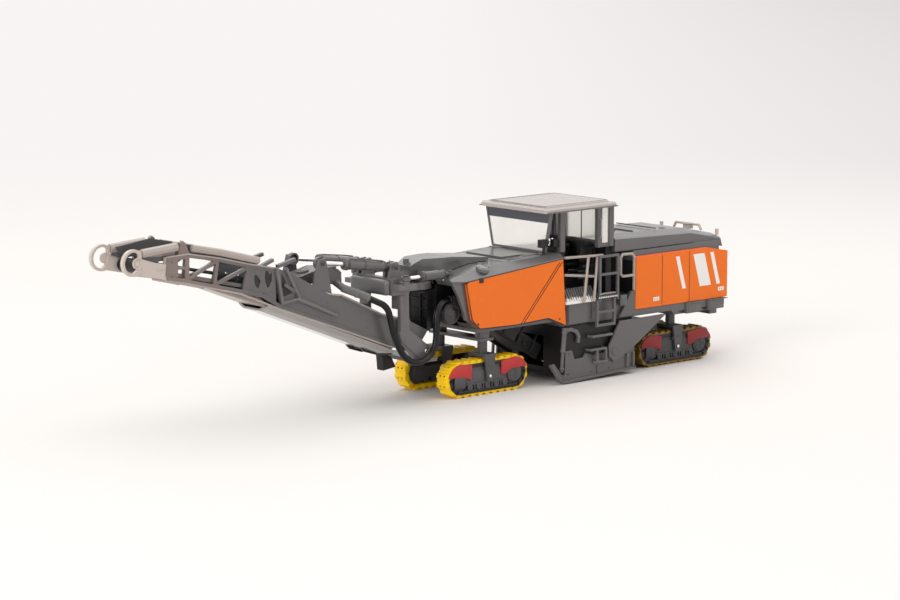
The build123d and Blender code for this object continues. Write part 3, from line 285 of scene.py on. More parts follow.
def glazing(name):
    """Clear moulded panes: a pale, near-opaque veil that is a painted reflection, thicker on the windscreen,
    with a faint slow variation.
    """
    finish = Finish(name)
    pane_noise = finish.cloud(5.0, 2.0)
    front = finish.axis("X") > -34.0
    # The pale base colour and the near-opaque veil of the panes are a painted reflection of the bright studio.
    reflection_veil = 0.78 + pane_noise * 0.08 + front * 0.07
    waves = finish.relief(0.1, 0.01, pane_noise)
    base = finish.mix(pane_noise, tint(244, 243, 238), tint(249, 248, 244))
    return finish.close({"Base Color": base, "Roughness": 0.1 + pane_noise * 0.05, "Metallic": 0.65,
                         "Alpha": reflection_veil, "Normal": waves})


def printed(name, colour, rough=0.45):
    """A printed field: even colour, with the print's fine screen and small misses."""
    finish = Finish(name)
    screen = finish.cloud(0.08, 2.0)
    misses = finish.cloud(0.7, 4.0).within(0.62, 0.8)
    base = finish.mix(misses * 0.3, colour, scaled(colour, 0.75))
    normal = finish.relief(0.15, 0.01, screen)
    return finish.close({"Base Color": base, "Roughness": rough + (screen - 0.5) * 0.1, "Normal": normal})


def beige_tip(finish, shade):
    """The girders turn paler and warmer towards the tip plates and rings."""
    warm = finish.mix(finish.axis("X").within(58.0, 78.0) * 0.9, shade, tint(134, 118, 111))
    return finish.mix(finish.axis("X") > 84.3, warm, tint(198, 185, 177))


def flap_share(finish):
    """The flap below the trough."""
    return finish.axis("Z") < 12.95


def dark_flap(finish, shade):
    """The flap below the trough is near black."""
    return finish.mix(flap_share(finish), shade, tint(16, 15, 16))


def brown_patched_shoe(finish, shade):
    """The shoes get browner in random patches."""
    return finish.mix(finish.cloud(1.1, 4.0).within(0.55, 0.8) * 0.5, shade, tint(96, 62, 22))


def upward_painted_shade(finish, shade):
    """Painted shade: the upward-facing surfaces of the orange panels turn a deeper orange."""
    facing = finish.add("ShaderNodeNewGeometry", out="Normal")
    upward = finish.add("ShaderNodeSeparateXYZ", {}, {0: facing}, "Z")
    return finish.mix(upward.within(0.15, 0.6) * 0.8, shade, tint(222, 84, 6))


FINISHES = {}


def make_finishes():
    """Every material of the model, by the plain name that the pieces ask for."""
    colours = bpy.context.scene.planer_colours
    grey, pale, dark = colours.grey[:], colours.pale[:], colours.dark[:]
    FINISHES.update(
        grey=moulded("grey_moulding", grey, 0.32, rim=0.5),
        deep_grey=moulded("deep_grey_moulding", scaled(grey, 0.32), 0.32, rim=0.25),
        mid_grey=moulded("mid_grey_moulding", scaled(grey, 0.78), 0.3, rim=0.35),
        bracket=moulded("bracket_moulding", scaled(grey, 1.3), 0.3, rim=0.4),
        body_grey=moulded("body_grey_moulding", scaled(grey, 0.92), 0.24, rim=0.4, shine=0.8),
        girder=moulded("girder_moulding", grey, 0.32, rim=0.55, repaint=beige_tip),
        pale=moulded("pale_moulding", pale, 0.34, rim=0.3),
        cream=moulded("cream_moulding", tint(196, 184, 174), 0.36, rim=0.3),
        roof=moulded("roof_moulding", tint(172, 163, 158), 0.26, rim=0.4, vary=0.06, shine=0.7),
        # dark is partly the parts' own dark plastic and partly painted shade on the deep parts.
        dark=moulded("dark_moulding", dark, 0.4, rim=0.15, shine=0.3),
        frame_dark=moulded("track_frame_moulding", tint(72, 71, 73), 0.4, rim=0.3),
        frame_rear=moulded("rear_track_frame_moulding", tint(50, 49, 50), 0.45, rim=0.25),
        shadow=moulded("shadow_moulding", tint(18, 17, 18), 0.5, rim=0.05),
        # The orange gets painted shade on its upward faces.
        orange=moulded("orange_moulding", colours.orange[:], 0.36, rim=0.10, vary=0.04, grain=0.12, coat=0.06,
                       shine=0.3, repaint=upward_painted_shade),
        yellow=moulded("yellow_moulding", colours.yellow[:], 0.4, rim=0.05, vary=0.04, grain=0.2, shine=0.35),
        ochre=moulded("ochre_moulding", colours.ochre[:], 0.42, rim=0.2, vary=0.25, repaint=brown_patched_shoe),
        red=moulded("red_moulding", colours.red[:], 0.42, rim=0.05, vary=0.06, grain=0.2, shine=0.35),
        red_rear=moulded("rear_red_moulding", scaled(colours.red[:], 0.5), 0.45, rim=0.05, vary=0.08, grain=0.2,
                         shine=0.35),
        # hollow is painted shade at the bottom of the shoes' hollows.
        hollow=moulded("hollow_painted_shade", tint(96, 70, 10), 0.6, rim=0.0, shine=0.2),
        trough=moulded("trough_moulding", tint(150, 146, 143), 0.16, rim=0.2, repaint=dark_flap, coat=0.6,
                       matt=flap_share),
        chrome=bright_metal("chromed_moulding", tint(225, 222, 218), 0.16),
        rod=bright_metal("chromed_rod", tint(225, 222, 218), 0.16, bare=rod_eyes),
        silver=bright_metal("silver_print", tint(238, 236, 232), 0.34, metal=0.35),
        # The grating's silver is partly print and partly a painted highlight on the teeth's lower ends.
        grating=bright_metal("grating_print_and_highlight", tint(238, 236, 232), 0.34, metal=0.35, bare=grating_body),
        hose=soft_black("hose_rubber", tint(12, 11, 12), 0.28),
        belt=soft_black("belt_rubber", tint(24, 23, 23), 0.5),
        glass=glazing("clear_glazing"),
        white=printed("white_print", tint(238, 236, 232)),
        black=printed("black_print", tint(22, 20, 20)),
        band=printed("sun_band_print", tint(62, 64, 72), 0.3),
        lamp=moulded("lamp_lens", tint(240, 236, 225), 0.12, rim=0.1, coat=0.8),
        tail_lamp=moulded("tail_lamp_lens", tint(170, 22, 18), 0.14, rim=0.1, coat=0.8),
    )


NODE_FINISH = {
    "grey": "main_frame side_plates plate_cylinders platform quarter_panels carrier_arms ladders fan_cover "
            "lift_barrel_left lift_barrel_right cab_pillars",
    "bracket": "slew_bracket",
    "mid_grey": "slew_barrel_left slew_barrel_right",
    "body_grey": "nose_hood engine_hood feed_head",
    "deep_grey": "feed_fans",
    "girder": "conveyor_frame",
    "pale": "railings belt_cover head_drum",
    "cream": "tail_bow",
    "roof": "canopy_roof",
    "dark": "cab_console cab_seats transfer_chute drum_housing",
    "shadow": "inner_conveyor engine_block milling_drum",
    "orange": "nose_panels tail_box",
    "grating": "gratings",
    "trough": "conveyor_trough",
    "belt": "conveyor_belt",
    "glass": "cab_windows",
    "rod": "lift_rod_left lift_rod_right slew_rod_left slew_rod_right",
    "hose": "hose_rear hose_front",
}


# Modelling by operators. Places and sizes from here on are millimetres in the frame's axes, and MM makes them
# metres: X is forward, Y is to the left side and Z is up from the floor.


def fresh():
    """Object mode with nothing selected."""
    if bpy.context.object and bpy.context.object.mode != "OBJECT":
        bpy.ops.object.mode_set(mode="OBJECT")
    bpy.ops.object.select_all(action="DESELECT")


def chosen(*pieces):
    """Only these pieces selected, the first of them active."""
    fresh()
    for piece in pieces:
        piece.select_set(True)
    bpy.context.view_layer.objects.active = pieces[0]


def settled(piece):
    """The piece's place, turn and size go into its mesh."""
    chosen(piece)
    bpy.ops.object.transform_apply(location=True, rotation=True, scale=True)
    return piece


def rounded(piece, width, segments=2, angle=35):
    """The piece's sharp edges rounded, by a modifier that is applied. Width in millimetres."""
    chosen(piece)
    cut = piece.modifiers.new("rounding", "BEVEL")
    cut.width = width * MM
    cut.segments = segments
    cut.limit_method = "ANGLE"
    cut.angle_limit = radians(angle)
    bpy.ops.object.modifier_apply(modifier=cut.name)
    return piece


def block(low, high, rounding=0.0, segments=2):
    """A block between two corners, in millimetres, with rounded edges."""
    fresh()
    low, high = Vector(low) * MM, Vector(high) * MM
    bpy.ops.mesh.primitive_cube_add(size=1, location=(low + high) / 2)
    piece = bpy.context.object
    piece.scale = [abs(c) for c in high - low]
    settled(piece)
    return rounded(piece, rounding, segments) if rounding else piece


def turned(centre, axis, radius, length, steps=(), sides=24, rounding=0.0):
    """A disc about centre, on an axis, with its outer face inset and raised or sunk step by step."""
    fresh()
    bpy.ops.mesh.primitive_cylinder_add(vertices=sides, radius=radius * MM, depth=length * MM)
    piece = bpy.context.object
    for inset, rise in steps:
        bpy.ops.object.mode_set(mode="EDIT")
        bpy.ops.mesh.select_mode(type="FACE")
        bpy.ops.mesh.select_all(action="DESELECT")
        bpy.ops.object.mode_set(mode="OBJECT")
        top = max((f for f in piece.data.polygons if len(f.vertices) == sides), key=lambda f: f.normal.z)
        top.select = True
        bpy.ops.object.mode_set(mode="EDIT")
        bpy.ops.mesh.inset(thickness=inset * MM)
        if rise:
            bpy.ops.mesh.extrude_region_move(TRANSFORM_OT_translate={"value": (0, 0, rise * MM)})
        bpy.ops.object.mode_set(mode="OBJECT")
    if rounding:
        rounded(piece, rounding)
    piece.rotation_euler = Vector(axis).to_track_quat("Z", "Y").to_euler()
    piece.location = Vector(centre) * MM
    return settled(piece)


def rod(start, end, radius, sides=12, rounding=0.0):
    """A round bar between two points."""
    start, end = Vector(start), Vector(end)
    return turned((start + end) / 2, end - start, radius, (end - start).length, (), sides, rounding)


MERGED = (bpy.ops.mesh.remove_doubles, {"threshold": 1e-6})
OUTWARD = (bpy.ops.mesh.normals_make_consistent, {"inside": False})


def reworked(piece, *steps):
    """The piece after mesh operators, each with its settings and run on the whole mesh."""
    chosen(piece)
    bpy.ops.object.mode_set(mode="EDIT")
    for step, settings in steps:
        bpy.ops.mesh.select_all(action="SELECT")
        step(**settings)
    bpy.ops.object.mode_set(mode="OBJECT")
    return piece


def plate(outline, face, depth, rounding=0.0, flat="y"):
    """A plate with an outline, its first face at that depth. flat is the axis across it: the outline is in the
    other two, in their order."""
    fresh()
    bpy.ops.mesh.primitive_circle_add(vertices=len(outline), radius=MM, fill_type="NGON")
    piece = bpy.context.object
    at = "xyz".index(flat)
    for vertex, point in zip(piece.data.vertices, outline):
        place = list(point)
        place.insert(at, face)
        vertex.co = Vector(place) * MM
    along = [0.0, 0.0, 0.0]
    along[at] = depth * MM
    extruded = (bpy.ops.mesh.extrude_region_move, {"TRANSFORM_OT_translate": {"value": along}})
    reworked(piece, extruded, OUTWARD)
    return rounded(piece, rounding) if rounding else piece


def wire_bar(points, radius, sides=3, smooth=False):
    """A bent round bar through points, as a mesh."""
    fresh()
    bpy.ops.curve.primitive_nurbs_path_add()
    piece = bpy.context.object
    curve = piece.data
    curve.splines.clear()
    spline = curve.splines.new("NURBS" if smooth else "POLY")
    spline.points.add(len(points) - 1)
    for point, place in zip(spline.points, points):
        point.co = (*(Vector(place) * MM), 1.0)
    if smooth:
        spline.order_u = 3
        spline.use_endpoint_u = True
        spline.resolution_u = 10
    curve.dimensions = "3D"
    curve.bevel_depth = radius * MM
    curve.bevel_resolution = sides
    curve.use_fill_caps = True
    piece.location = (0, 0, 0)
    bpy.ops.object.convert(target="MESH")
    return settled(reworked(bpy.context.object, MERGED, OUTWARD))


def torus(centre, turn, radius, thick, around, across):
    """A round bar bent to a ring, with its turn as angles about X, Y and Z and its counts of faces."""
    fresh()
    bpy.ops.mesh.primitive_torus_add(major_radius=radius * MM, minor_radius=thick * MM,
                                     major_segments=around, minor_segments=across)
    piece = bpy.context.object
    piece.rotation_euler = turn
    piece.location = Vector(centre) * MM
    return settled(piece)


def circle(count, radius=1.0):
    """Even points on a circle, as pairs."""
    return [(radius * cos(a), radius * sin(a)) for a in (2 * pi * k / count for k in range(count))]


def corners(low_x, low_z, high_x, high_z):
    """The outline of an upright rectangle."""
    return (low_x, low_z), (high_x, low_z), (high_x, high_z), (low_x, high_z)


def taken(node, name, without=None):
    """A copy of a frame node's mesh, in place, without the vertices that the test picks."""
    piece = bpy.data.objects.new(name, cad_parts[node].data.copy())
    piece.data.transform(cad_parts[node].matrix_world)
    bpy.context.collection.objects.link(piece)
    chosen(piece)
    if without:
        bpy.ops.object.mode_set(mode="EDIT")
        bpy.ops.mesh.select_mode(type="VERT")
        bpy.ops.mesh.select_all(action="DESELECT")
        bpy.ops.object.mode_set(mode="OBJECT")
        for corner in piece.data.vertices:
            corner.select = without(*(corner.co / MM))
        bpy.ops.object.mode_set(mode="EDIT")
        bpy.ops.mesh.delete(type="VERT")
        bpy.ops.object.mode_set(mode="OBJECT")
    return piece


def twin_of(piece, turn):
    """A copy of the piece with its mesh moved by a matrix."""
    twin = piece.copy()
    twin.data = piece.data.copy()
    twin.data.transform(turn)
    bpy.context.collection.objects.link(twin)
    return twin


def joined(pieces):
    """Several pieces as one."""
    chosen(*pieces)
    if len(pieces) > 1:
        bpy.ops.object.join()
    return bpy.context.object


def copied(piece, moves):
    """The piece once at each move, a vector in millimetres or a matrix, and itself taken away."""
    made = [twin_of(piece, move if isinstance(move, Matrix) else Matrix.Translation(Vector(move) * MM))
            for move in moves]
    bpy.data.objects.remove(piece)
    return joined(made)


def mirrored(*pieces):
    """The pieces and their mirror image across the model, as one."""
    piece = joined(pieces)
    twin = twin_of(piece, Matrix.Scale(-1, 4, ACROSS))
    twin.data.flip_normals()
    return joined([piece, twin])


def placed(pieces, name, finish, body="chassis", smooth=35):
    """Joins the pieces, names them, gives them their finish and the body they ride on, if any."""
    piece = joined(pieces if isinstance(pieces, list) else [pieces])
    piece.name = piece.data.name = name
    piece.data.materials.clear()
    piece.data.materials.append(FINISHES[finish])
    chosen(piece)
    bpy.ops.object.shade_smooth_by_angle(angle=radians(smooth))
    if body:
        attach(piece, body)
    return piece


def bolts(points, axis, radius=None, height=0.16):
    """Bolt heads at points, on an axis."""
    radius = radius or bpy.context.scene.planer_sizes.bolt / MM
    head = turned((0, 0, 0), axis, radius, height, ((0.3 * radius, 0.04),), 6)
    return copied(head, points)


# Tracks

TRACK_X = {"front": -12.3, "rear": -79.5}
TRACK_Y = 7.93
BELT_R = 4.05
AXLE_Z = 4.55
HALF_STRAIGHT = 9.05
HALF_WIDTH = 2.075
SHOES = 26
HOLLOW_Y = (-0.72, 0.72)
FACE_Y = TRACK_Y + HALF_WIDTH + 0.3
PIN_Y = TRACK_Y + 3.025
PIN_Z = 4.7
ROLLER_PITCH = 2.93
SPROCKET = (-8.1, -0.35)
SPROCKET_STEPS = ((0.2, -0.1), (0.35, 0.12), (0.3, -0.06), (0.3, 0.1))
GUARD_FRONT = ((5.6, 3.42), (9.2, 4.0), (10.6, 3.72), (11.9, 2.95), (12.8, 1.95), (13.2, 0.85), (8.95, 0.72),
               (7.5, 0.36), (5.7, -0.28))
GUARD_REAR = ((-4.3, 3.42), (-4.3, 0.1), (-6.0, 0.02), (-7.7, 1.16), (-13.1, 1.16), (-12.7, 2.1), (-11.8, 3.1),
              (-10.6, 3.75), (-9.2, 4.02))


def tracks():
    """Of each track: its tag, body, place along the model, side as 1 or -1, and whether it is a front one."""
    for end, x in TRACK_X.items():
        for side, way in SIDES:
            yield f"{end}_{side}", f"track_{end}_{side}", x, way, end == "front"


def shoe_places(centre, radius=BELT_R):
    """The matrix of each shoe on the loop, or of what lies on a smaller loop with it."""
    turn_length = pi * BELT_R
    loop = 4 * HALF_STRAIGHT + 2 * turn_length
    for shoe in range(SHOES):
        s = shoe * loop / SHOES
        if s < HALF_STRAIGHT:
            x, z, angle = s, radius, 0.0
        elif s < HALF_STRAIGHT + turn_length:
            angle = (s - HALF_STRAIGHT) / BELT_R
            x, z = HALF_STRAIGHT + radius * sin(angle), radius * cos(angle)
        elif s < 3 * HALF_STRAIGHT + turn_length:
            x, z, angle = 2 * HALF_STRAIGHT + turn_length - s, -radius, pi
        elif s < 3 * HALF_STRAIGHT + 2 * turn_length:
            angle = pi + (s - 3 * HALF_STRAIGHT - turn_length) / BELT_R
            x, z = -HALF_STRAIGHT + radius * sin(angle), radius * cos(angle)
        else:
            x, z, angle = s - loop, radius, 0.0
        yield Matrix.Translation((Vector(centre) + Vector((x, 0, z))) * MM) @ Matrix.Rotation(angle, 4, "Y")


def track_shoe():
    """One shoe: a tapered pad with two hollows in its raised tread."""
    pad = plate(((-1.19, -0.9), (1.19, -0.9), (1.28, -0.1), (1.18, 0.08), (-1.18, 0.08), (-1.28, -0.1)),
                -HALF_WIDTH, 2 * HALF_WIDTH, 0.06)
    tread = plate(((-0.78, 0.0), (0.78, 0.0), (0.52, 0.52), (-0.52, 0.52)), -HALF_WIDTH, 2 * HALF_WIDTH, 0.08)
    hollow = bpy.context.scene.planer_sizes.dimple / MM
    for y in HOLLOW_Y:
        drill = turned((0, y, 0.45), UP, hollow, 0.5, (), 12)
        chosen(tread)
        cut = tread.modifiers.new("hollow", "BOOLEAN")
        cut.object = drill
        cut.operation = "DIFFERENCE"
        bpy.ops.object.modifier_apply(modifier=cut.name)
        bpy.data.objects.remove(drill)
    return joined([pad, tread])


class PLANER_OT_track_belts(bpy.types.Operator):
    """Each track's belt of shoes, in place of the plain loop, with painted shade at the bottom of the shoes'
    hollows.
    """

    bl_idname = "planer.track_belts"
    bl_label = "Track belts"

    def execute(self, context):
        hollow = context.scene.planer_sizes.dimple / MM
        for tag, body, x, way, front in tracks():
            places = list(shoe_places((x, way * TRACK_Y, AXLE_Z)))
            shade = "yellow" if front else "ochre"
            belt = placed(copied(track_shoe(), places), f"shoe_belt_{tag}", shade, body)
            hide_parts(f"track_belt_{tag}")
            # Dark brown discs at the bottom of each hollow: painted shade.
            hollow_shade_discs = [turned((0, y, 0.27), UP, hollow * 0.98, 0.04, (), 12) for y in HOLLOW_Y]
            placed(copied(joined(hollow_shade_discs), places), f"shoe_hollow_shades_{tag}", "hollow", body)
        return {"FINISHED"}


class PLANER_OT_track_fittings(bpy.types.Operator):
    """Guards, sprocket, idler block, rollers, chain, bolt rows and pin of each track."""

    bl_idname = "planer.track_fittings"
    bl_label = "Track fittings"

    def execute(self, context):
        for tag, body, x, way, front in tracks():
            out = (0, way, 0)
            cast = "frame_dark" if front else "frame_rear"

            def at(dx, dz, rise=0.0):
                return x + dx, way * (FACE_Y + rise), AXLE_Z + dz

            def face(outline, rise, depth, rounding=0.04):
                shown = [(x + px, AXLE_Z + pz) for px, pz in outline]
                return plate(shown, way * (FACE_Y + rise), way * depth, rounding)

            guards = [face(outline, -0.24, 0.34, 0.07) for outline in (GUARD_FRONT, GUARD_REAR)]
            shield = placed(guards, f"wheel_guards_{tag}", "red" if front else "red_rear", body)
            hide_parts(f"track_guards_{tag}")
            sprocket = turned(at(*SPROCKET, -0.12), out, 1.6, 0.36, SPROCKET_STEPS, 28, 0.03)
            studs = bolts([at(SPROCKET[0] + dx, SPROCKET[1] + dz) for dx, dz in circle(8, 1.22)], out, 0.1)
            idler = face(((7.75, -2.05), (11.3, -1.9), (11.3, 0.6), (10.4, 0.9), (7.75, 0.75)), -0.3, 0.36, 0.1)
            keeper = face(corners(10.6, -1.7, 11.05, 0.6), 0.0, 0.12)
            plinth = face(((-6.2, -1.6), (7.4, -1.6), (7.4, -0.55), (5.5, -0.3), (5.5, 1.9), (-4.2, 1.9),
                           (-4.2, -0.2), (-6.2, -0.7)), -0.42, 0.3, 0.05)
            ledge = face(corners(-6.0, -0.85, 7.3, -0.68), -0.14, 0.16, 0.03)
            rollers = [turned(at(ROLLER_PITCH * k + 0.1, -2.12, -0.36), out, 0.84, 0.5,
                              ((0.2, 0.06), (0.3, -0.1)), 20, 0.03) for k in (-2, -1, 0, 1, 2)]
            brackets = [face(corners(ROLLER_PITCH * k + 1.3, -2.75, ROLLER_PITCH * k + 1.72, -1.2), -0.42, 0.26)
                        for k in (-2, -1, 0, 1)]
            row = [at(dx, -1.2, -0.1) for dx in (-5.2, -4.0, -2.7, -1.4, -0.1, 1.2, 2.5, 3.8, 5.1, 6.4)]
            box = face(((1.0, 0.2), (5.3, 0.2), (5.3, 2.75), (4.6, 3.0), (1.0, 3.0)), -0.5, 0.2, 0.08)
            box_rear = face(corners(-4.1, 0.2, -1.0, 3.0), -0.5, 0.2, 0.08)
            placed([sprocket, studs, idler, keeper, plinth, ledge, *rollers, *brackets, box, box_rear,
                    bolts(row, out, 0.15)], f"track_drive_{tag}", cast, body)
            link = [block((-1.17, -0.08, -1.0), (1.17, 0.08, 0.0), 0.05)]
            link += [turned((dx, way * 0.08, -0.45), out, 0.2, 0.12, ((0.06, -0.03),), 10)
                     for dx in (0.5, -0.5)]
            places = list(shoe_places((x, way * (TRACK_Y + HALF_WIDTH + 0.05), AXLE_Z), BELT_R - 0.34))
            placed(copied(joined(link), places), f"chain_{tag}", "shadow", body)
            fork = [
                bolts([(x + dx, way * (PIN_Y + 0.03), 7.35) for dx in (-0.42, 0.42)], out, 0.16),
                turned((x, way * (PIN_Y - 0.02), PIN_Z), out, 0.78, 0.12, ((0.1, 0.02),), 20),
                block((x - 2.1, way * (TRACK_Y - 2.9), 9.42), (x + 2.1, way * (TRACK_Y + 2.9), 9.62), 0.06),
            ]
            placed(fork, f"fork_fittings_{tag}", cast, body)
            pin = turned((x, way * (PIN_Y + 0.06), PIN_Z), out, 0.42, 0.26, ((0.1, 0.05),), 20, 0.03)
            placed(pin, f"fork_pin_cap_{tag}", "chrome", body)
        return {"FINISHED"}


# Body

PANEL_Y = 12.55
TAIL_Y = 12.6
PLATE_Y = 12.95
HOOD_SLOPE = 0.0423
INNER_TILT = radians(31.3)
FAN_X, FAN_Z = -0.95, 21.3
WHEEL_HUB = (-42.6, 0, 34.6)
REAR_GLASS_X = -54.0
ROOF_LOW, ROOF_HIGH = 45.42, 45.52
LATCHES = ((-69.4, 18.5), (-93.9, 18.8))


class PLANER_OT_nose_fittings(bpy.types.Operator):
    """Notches, screws, seams, lids, caps and lamps of the nose."""

    bl_idname = "planer.nose_fittings"
    bl_label = "Nose fittings"

    def execute(self, context):
        screw = ((0.1, -0.05),)
        dark = mirrored(block((-8.4, PANEL_Y - 0.2, 28.75), (-7.0, PANEL_Y + 0.2, 29.95), 0.06),
                        turned((-6.7, PANEL_Y, 18.5), ACROSS, 0.28, 0.12, screw, 16),
                        turned((-34.6, PANEL_Y, 16.9), ACROSS, 0.24, 0.12, screw, 16))
        placed(dark, "nose_notches", "black")
        grooves = [plate(((d - 35.72, 31.35), (d - 35.48, 31.35), (d - 21.78, 16.9), (d - 22.02, 16.9)),
                         12.29, 0.2) for d in (0.0, 0.9)]
        placed(mirrored(*grooves), "nose_groove_lines", "black")
        edge = ((-36.0, 32.1), (-2.8, 29.3), (-4.78, 19.75), (-7.35, 17.26), (-19.8, 16.96), (-30.8, 17.46),
                (-36.9, 14.95))
        placed(mirrored(wire_bar([(x, 12.44, z) for x, z in edge], 0.13)), "panel_gap_lines", "black")
        lids = [block((-32.4, -9.6, 33.22), (-18.4, 9.6, 33.42), 0.08)]
        lids += [block((-31.2, low, 33.4), (-26.2, low + 5.2, 33.62), 0.08) for low in (-8.4, 3.2)]
        corner = Matrix.Translation(Vector((-32.4, 0, 33.3)) * MM)
        for lid in lids:
            lid.data.transform(corner @ Matrix.Rotation(HOOD_SLOPE, 4, "Y") @ corner.inverted())
        hinges = [rod((-31.0, s * 9.0 - 0.8, 33.5), (-31.0, s * 9.0 + 0.8, 33.5), 0.16) for s in (-1, 1)]
        placed(lids + hinges, "hood_lids", "body_grey")
        bulge = turned((-9.6, 10.9, 31.9), (0, 0.35, 1), 1.7, 1.0, ((0.35, 0.2),), 32, 0.12)
        placed(bulge, "edge_cap", "body_grey")
        caps = [turned((-15.5, -8.6, 32.75), UP, 0.9, 0.5, ((0.15, 0.12),), 24, 0.05),
                turned((-20.5, 8.4, 32.95), UP, 0.6, 0.4, ((0.12, 0.1),), 20, 0.04)]
        placed(caps, "tank_caps", "grey")
        lip = [(-35.9, 12.35, 32.35), (-10.0, 12.35, 30.1), (-3.0, 12.3, 29.5), (1.0, 11.4, 29.85)]
        placed(mirrored(wire_bar(lip, 0.14)), "hood_lip", "grey")
        lamps = [turned((1.32, s * 8.6, 30.0), (1, 0, 0.1), 0.24, 0.1, ((0.06, -0.03),), 16) for s in (-1, 1)]
        placed(lamps, "nose_lamps", "lamp")
        return {"FINISHED"}


class PLANER_OT_chute_fittings(bpy.types.Operator):
    """Ribs and bolts of the chute and the inner conveyor, and the extraction fan's rings."""

    bl_idname = "planer.chute_fittings"
    bl_label = "Chute and fan fittings"

    def execute(self, context):
        # The chute ribs take the dark finish, partly painted shade inside the chute.
        ribs = [block((0.9, -4.7, z), (3.35, 4.7, z + 0.3), 0.05) for z in (19.2, 22.0, 24.8)]
        ribs += [block((2.9, s * 2.2 - 0.2, 17.5), (3.4, s * 2.2 + 0.2, 26.9), 0.06) for s in (-1, 1)]
        placed(ribs, "chute_ribs", "dark")
        heads = [(3.1, y, z) for z in (18.3, 20.7, 23.4, 26.1) for y in (-3.9, 3.9)]
        placed(bolts(heads, AHEAD, 0.2), "chute_bolts", "dark")
        run = Vector((cos(INNER_TILT), 0, sin(INNER_TILT)))
        up = Vector((-sin(INNER_TILT), 0, cos(INNER_TILT)))

        def place(along, rise):
            return Vector((-34.6, 5.0, 7.4)) + run * along + up * rise

        bars = [rod(place(2.0, -1.6), place(34.0, -1.6), 0.4, 10)]
        bars += [rod(place(s, -1.6), place(s, 3.4), 0.3, 8, 0.05) for s in (3.0, 8.5, 14.0, 19.5, 25.0, 30.5)]
        bars += [turned(place(s, -0.2), ACROSS, 0.8, 0.7, ((0.25, 0.1),), 20, 0.05) for s in (5.7, 16.7, 27.7)]
        placed(mirrored(*bars), "inner_conveyor_ribs", "dark")
        rings = ((0.25, -0.1), (0.7, 0.22), (0.45, 0.15), (0.15, 0.2))
        discs = ((9.25, 2.5, 0.2, rings, 0.03), (7.4, 2.72, 0.35, (), 0.08), (8.7, 2.72, 0.3, (), 0.08))
        shell = [turned((FAN_X, y, FAN_Z), ACROSS, radius, wide, steps, 36, rounding)
                 for y, radius, wide, steps, rounding in discs]
        shell += [bolts([(FAN_X + dx, 9.28, FAN_Z + dz) for dx, dz in circle(8, 2.05)], ACROSS, 0.15),
                  block((-3.75, 7.0, 25.2), (-1.5, 9.35, 25.6), 0.1)]
        placed(shell, "fan_shell", "deep_grey")
        return {"FINISHED"}


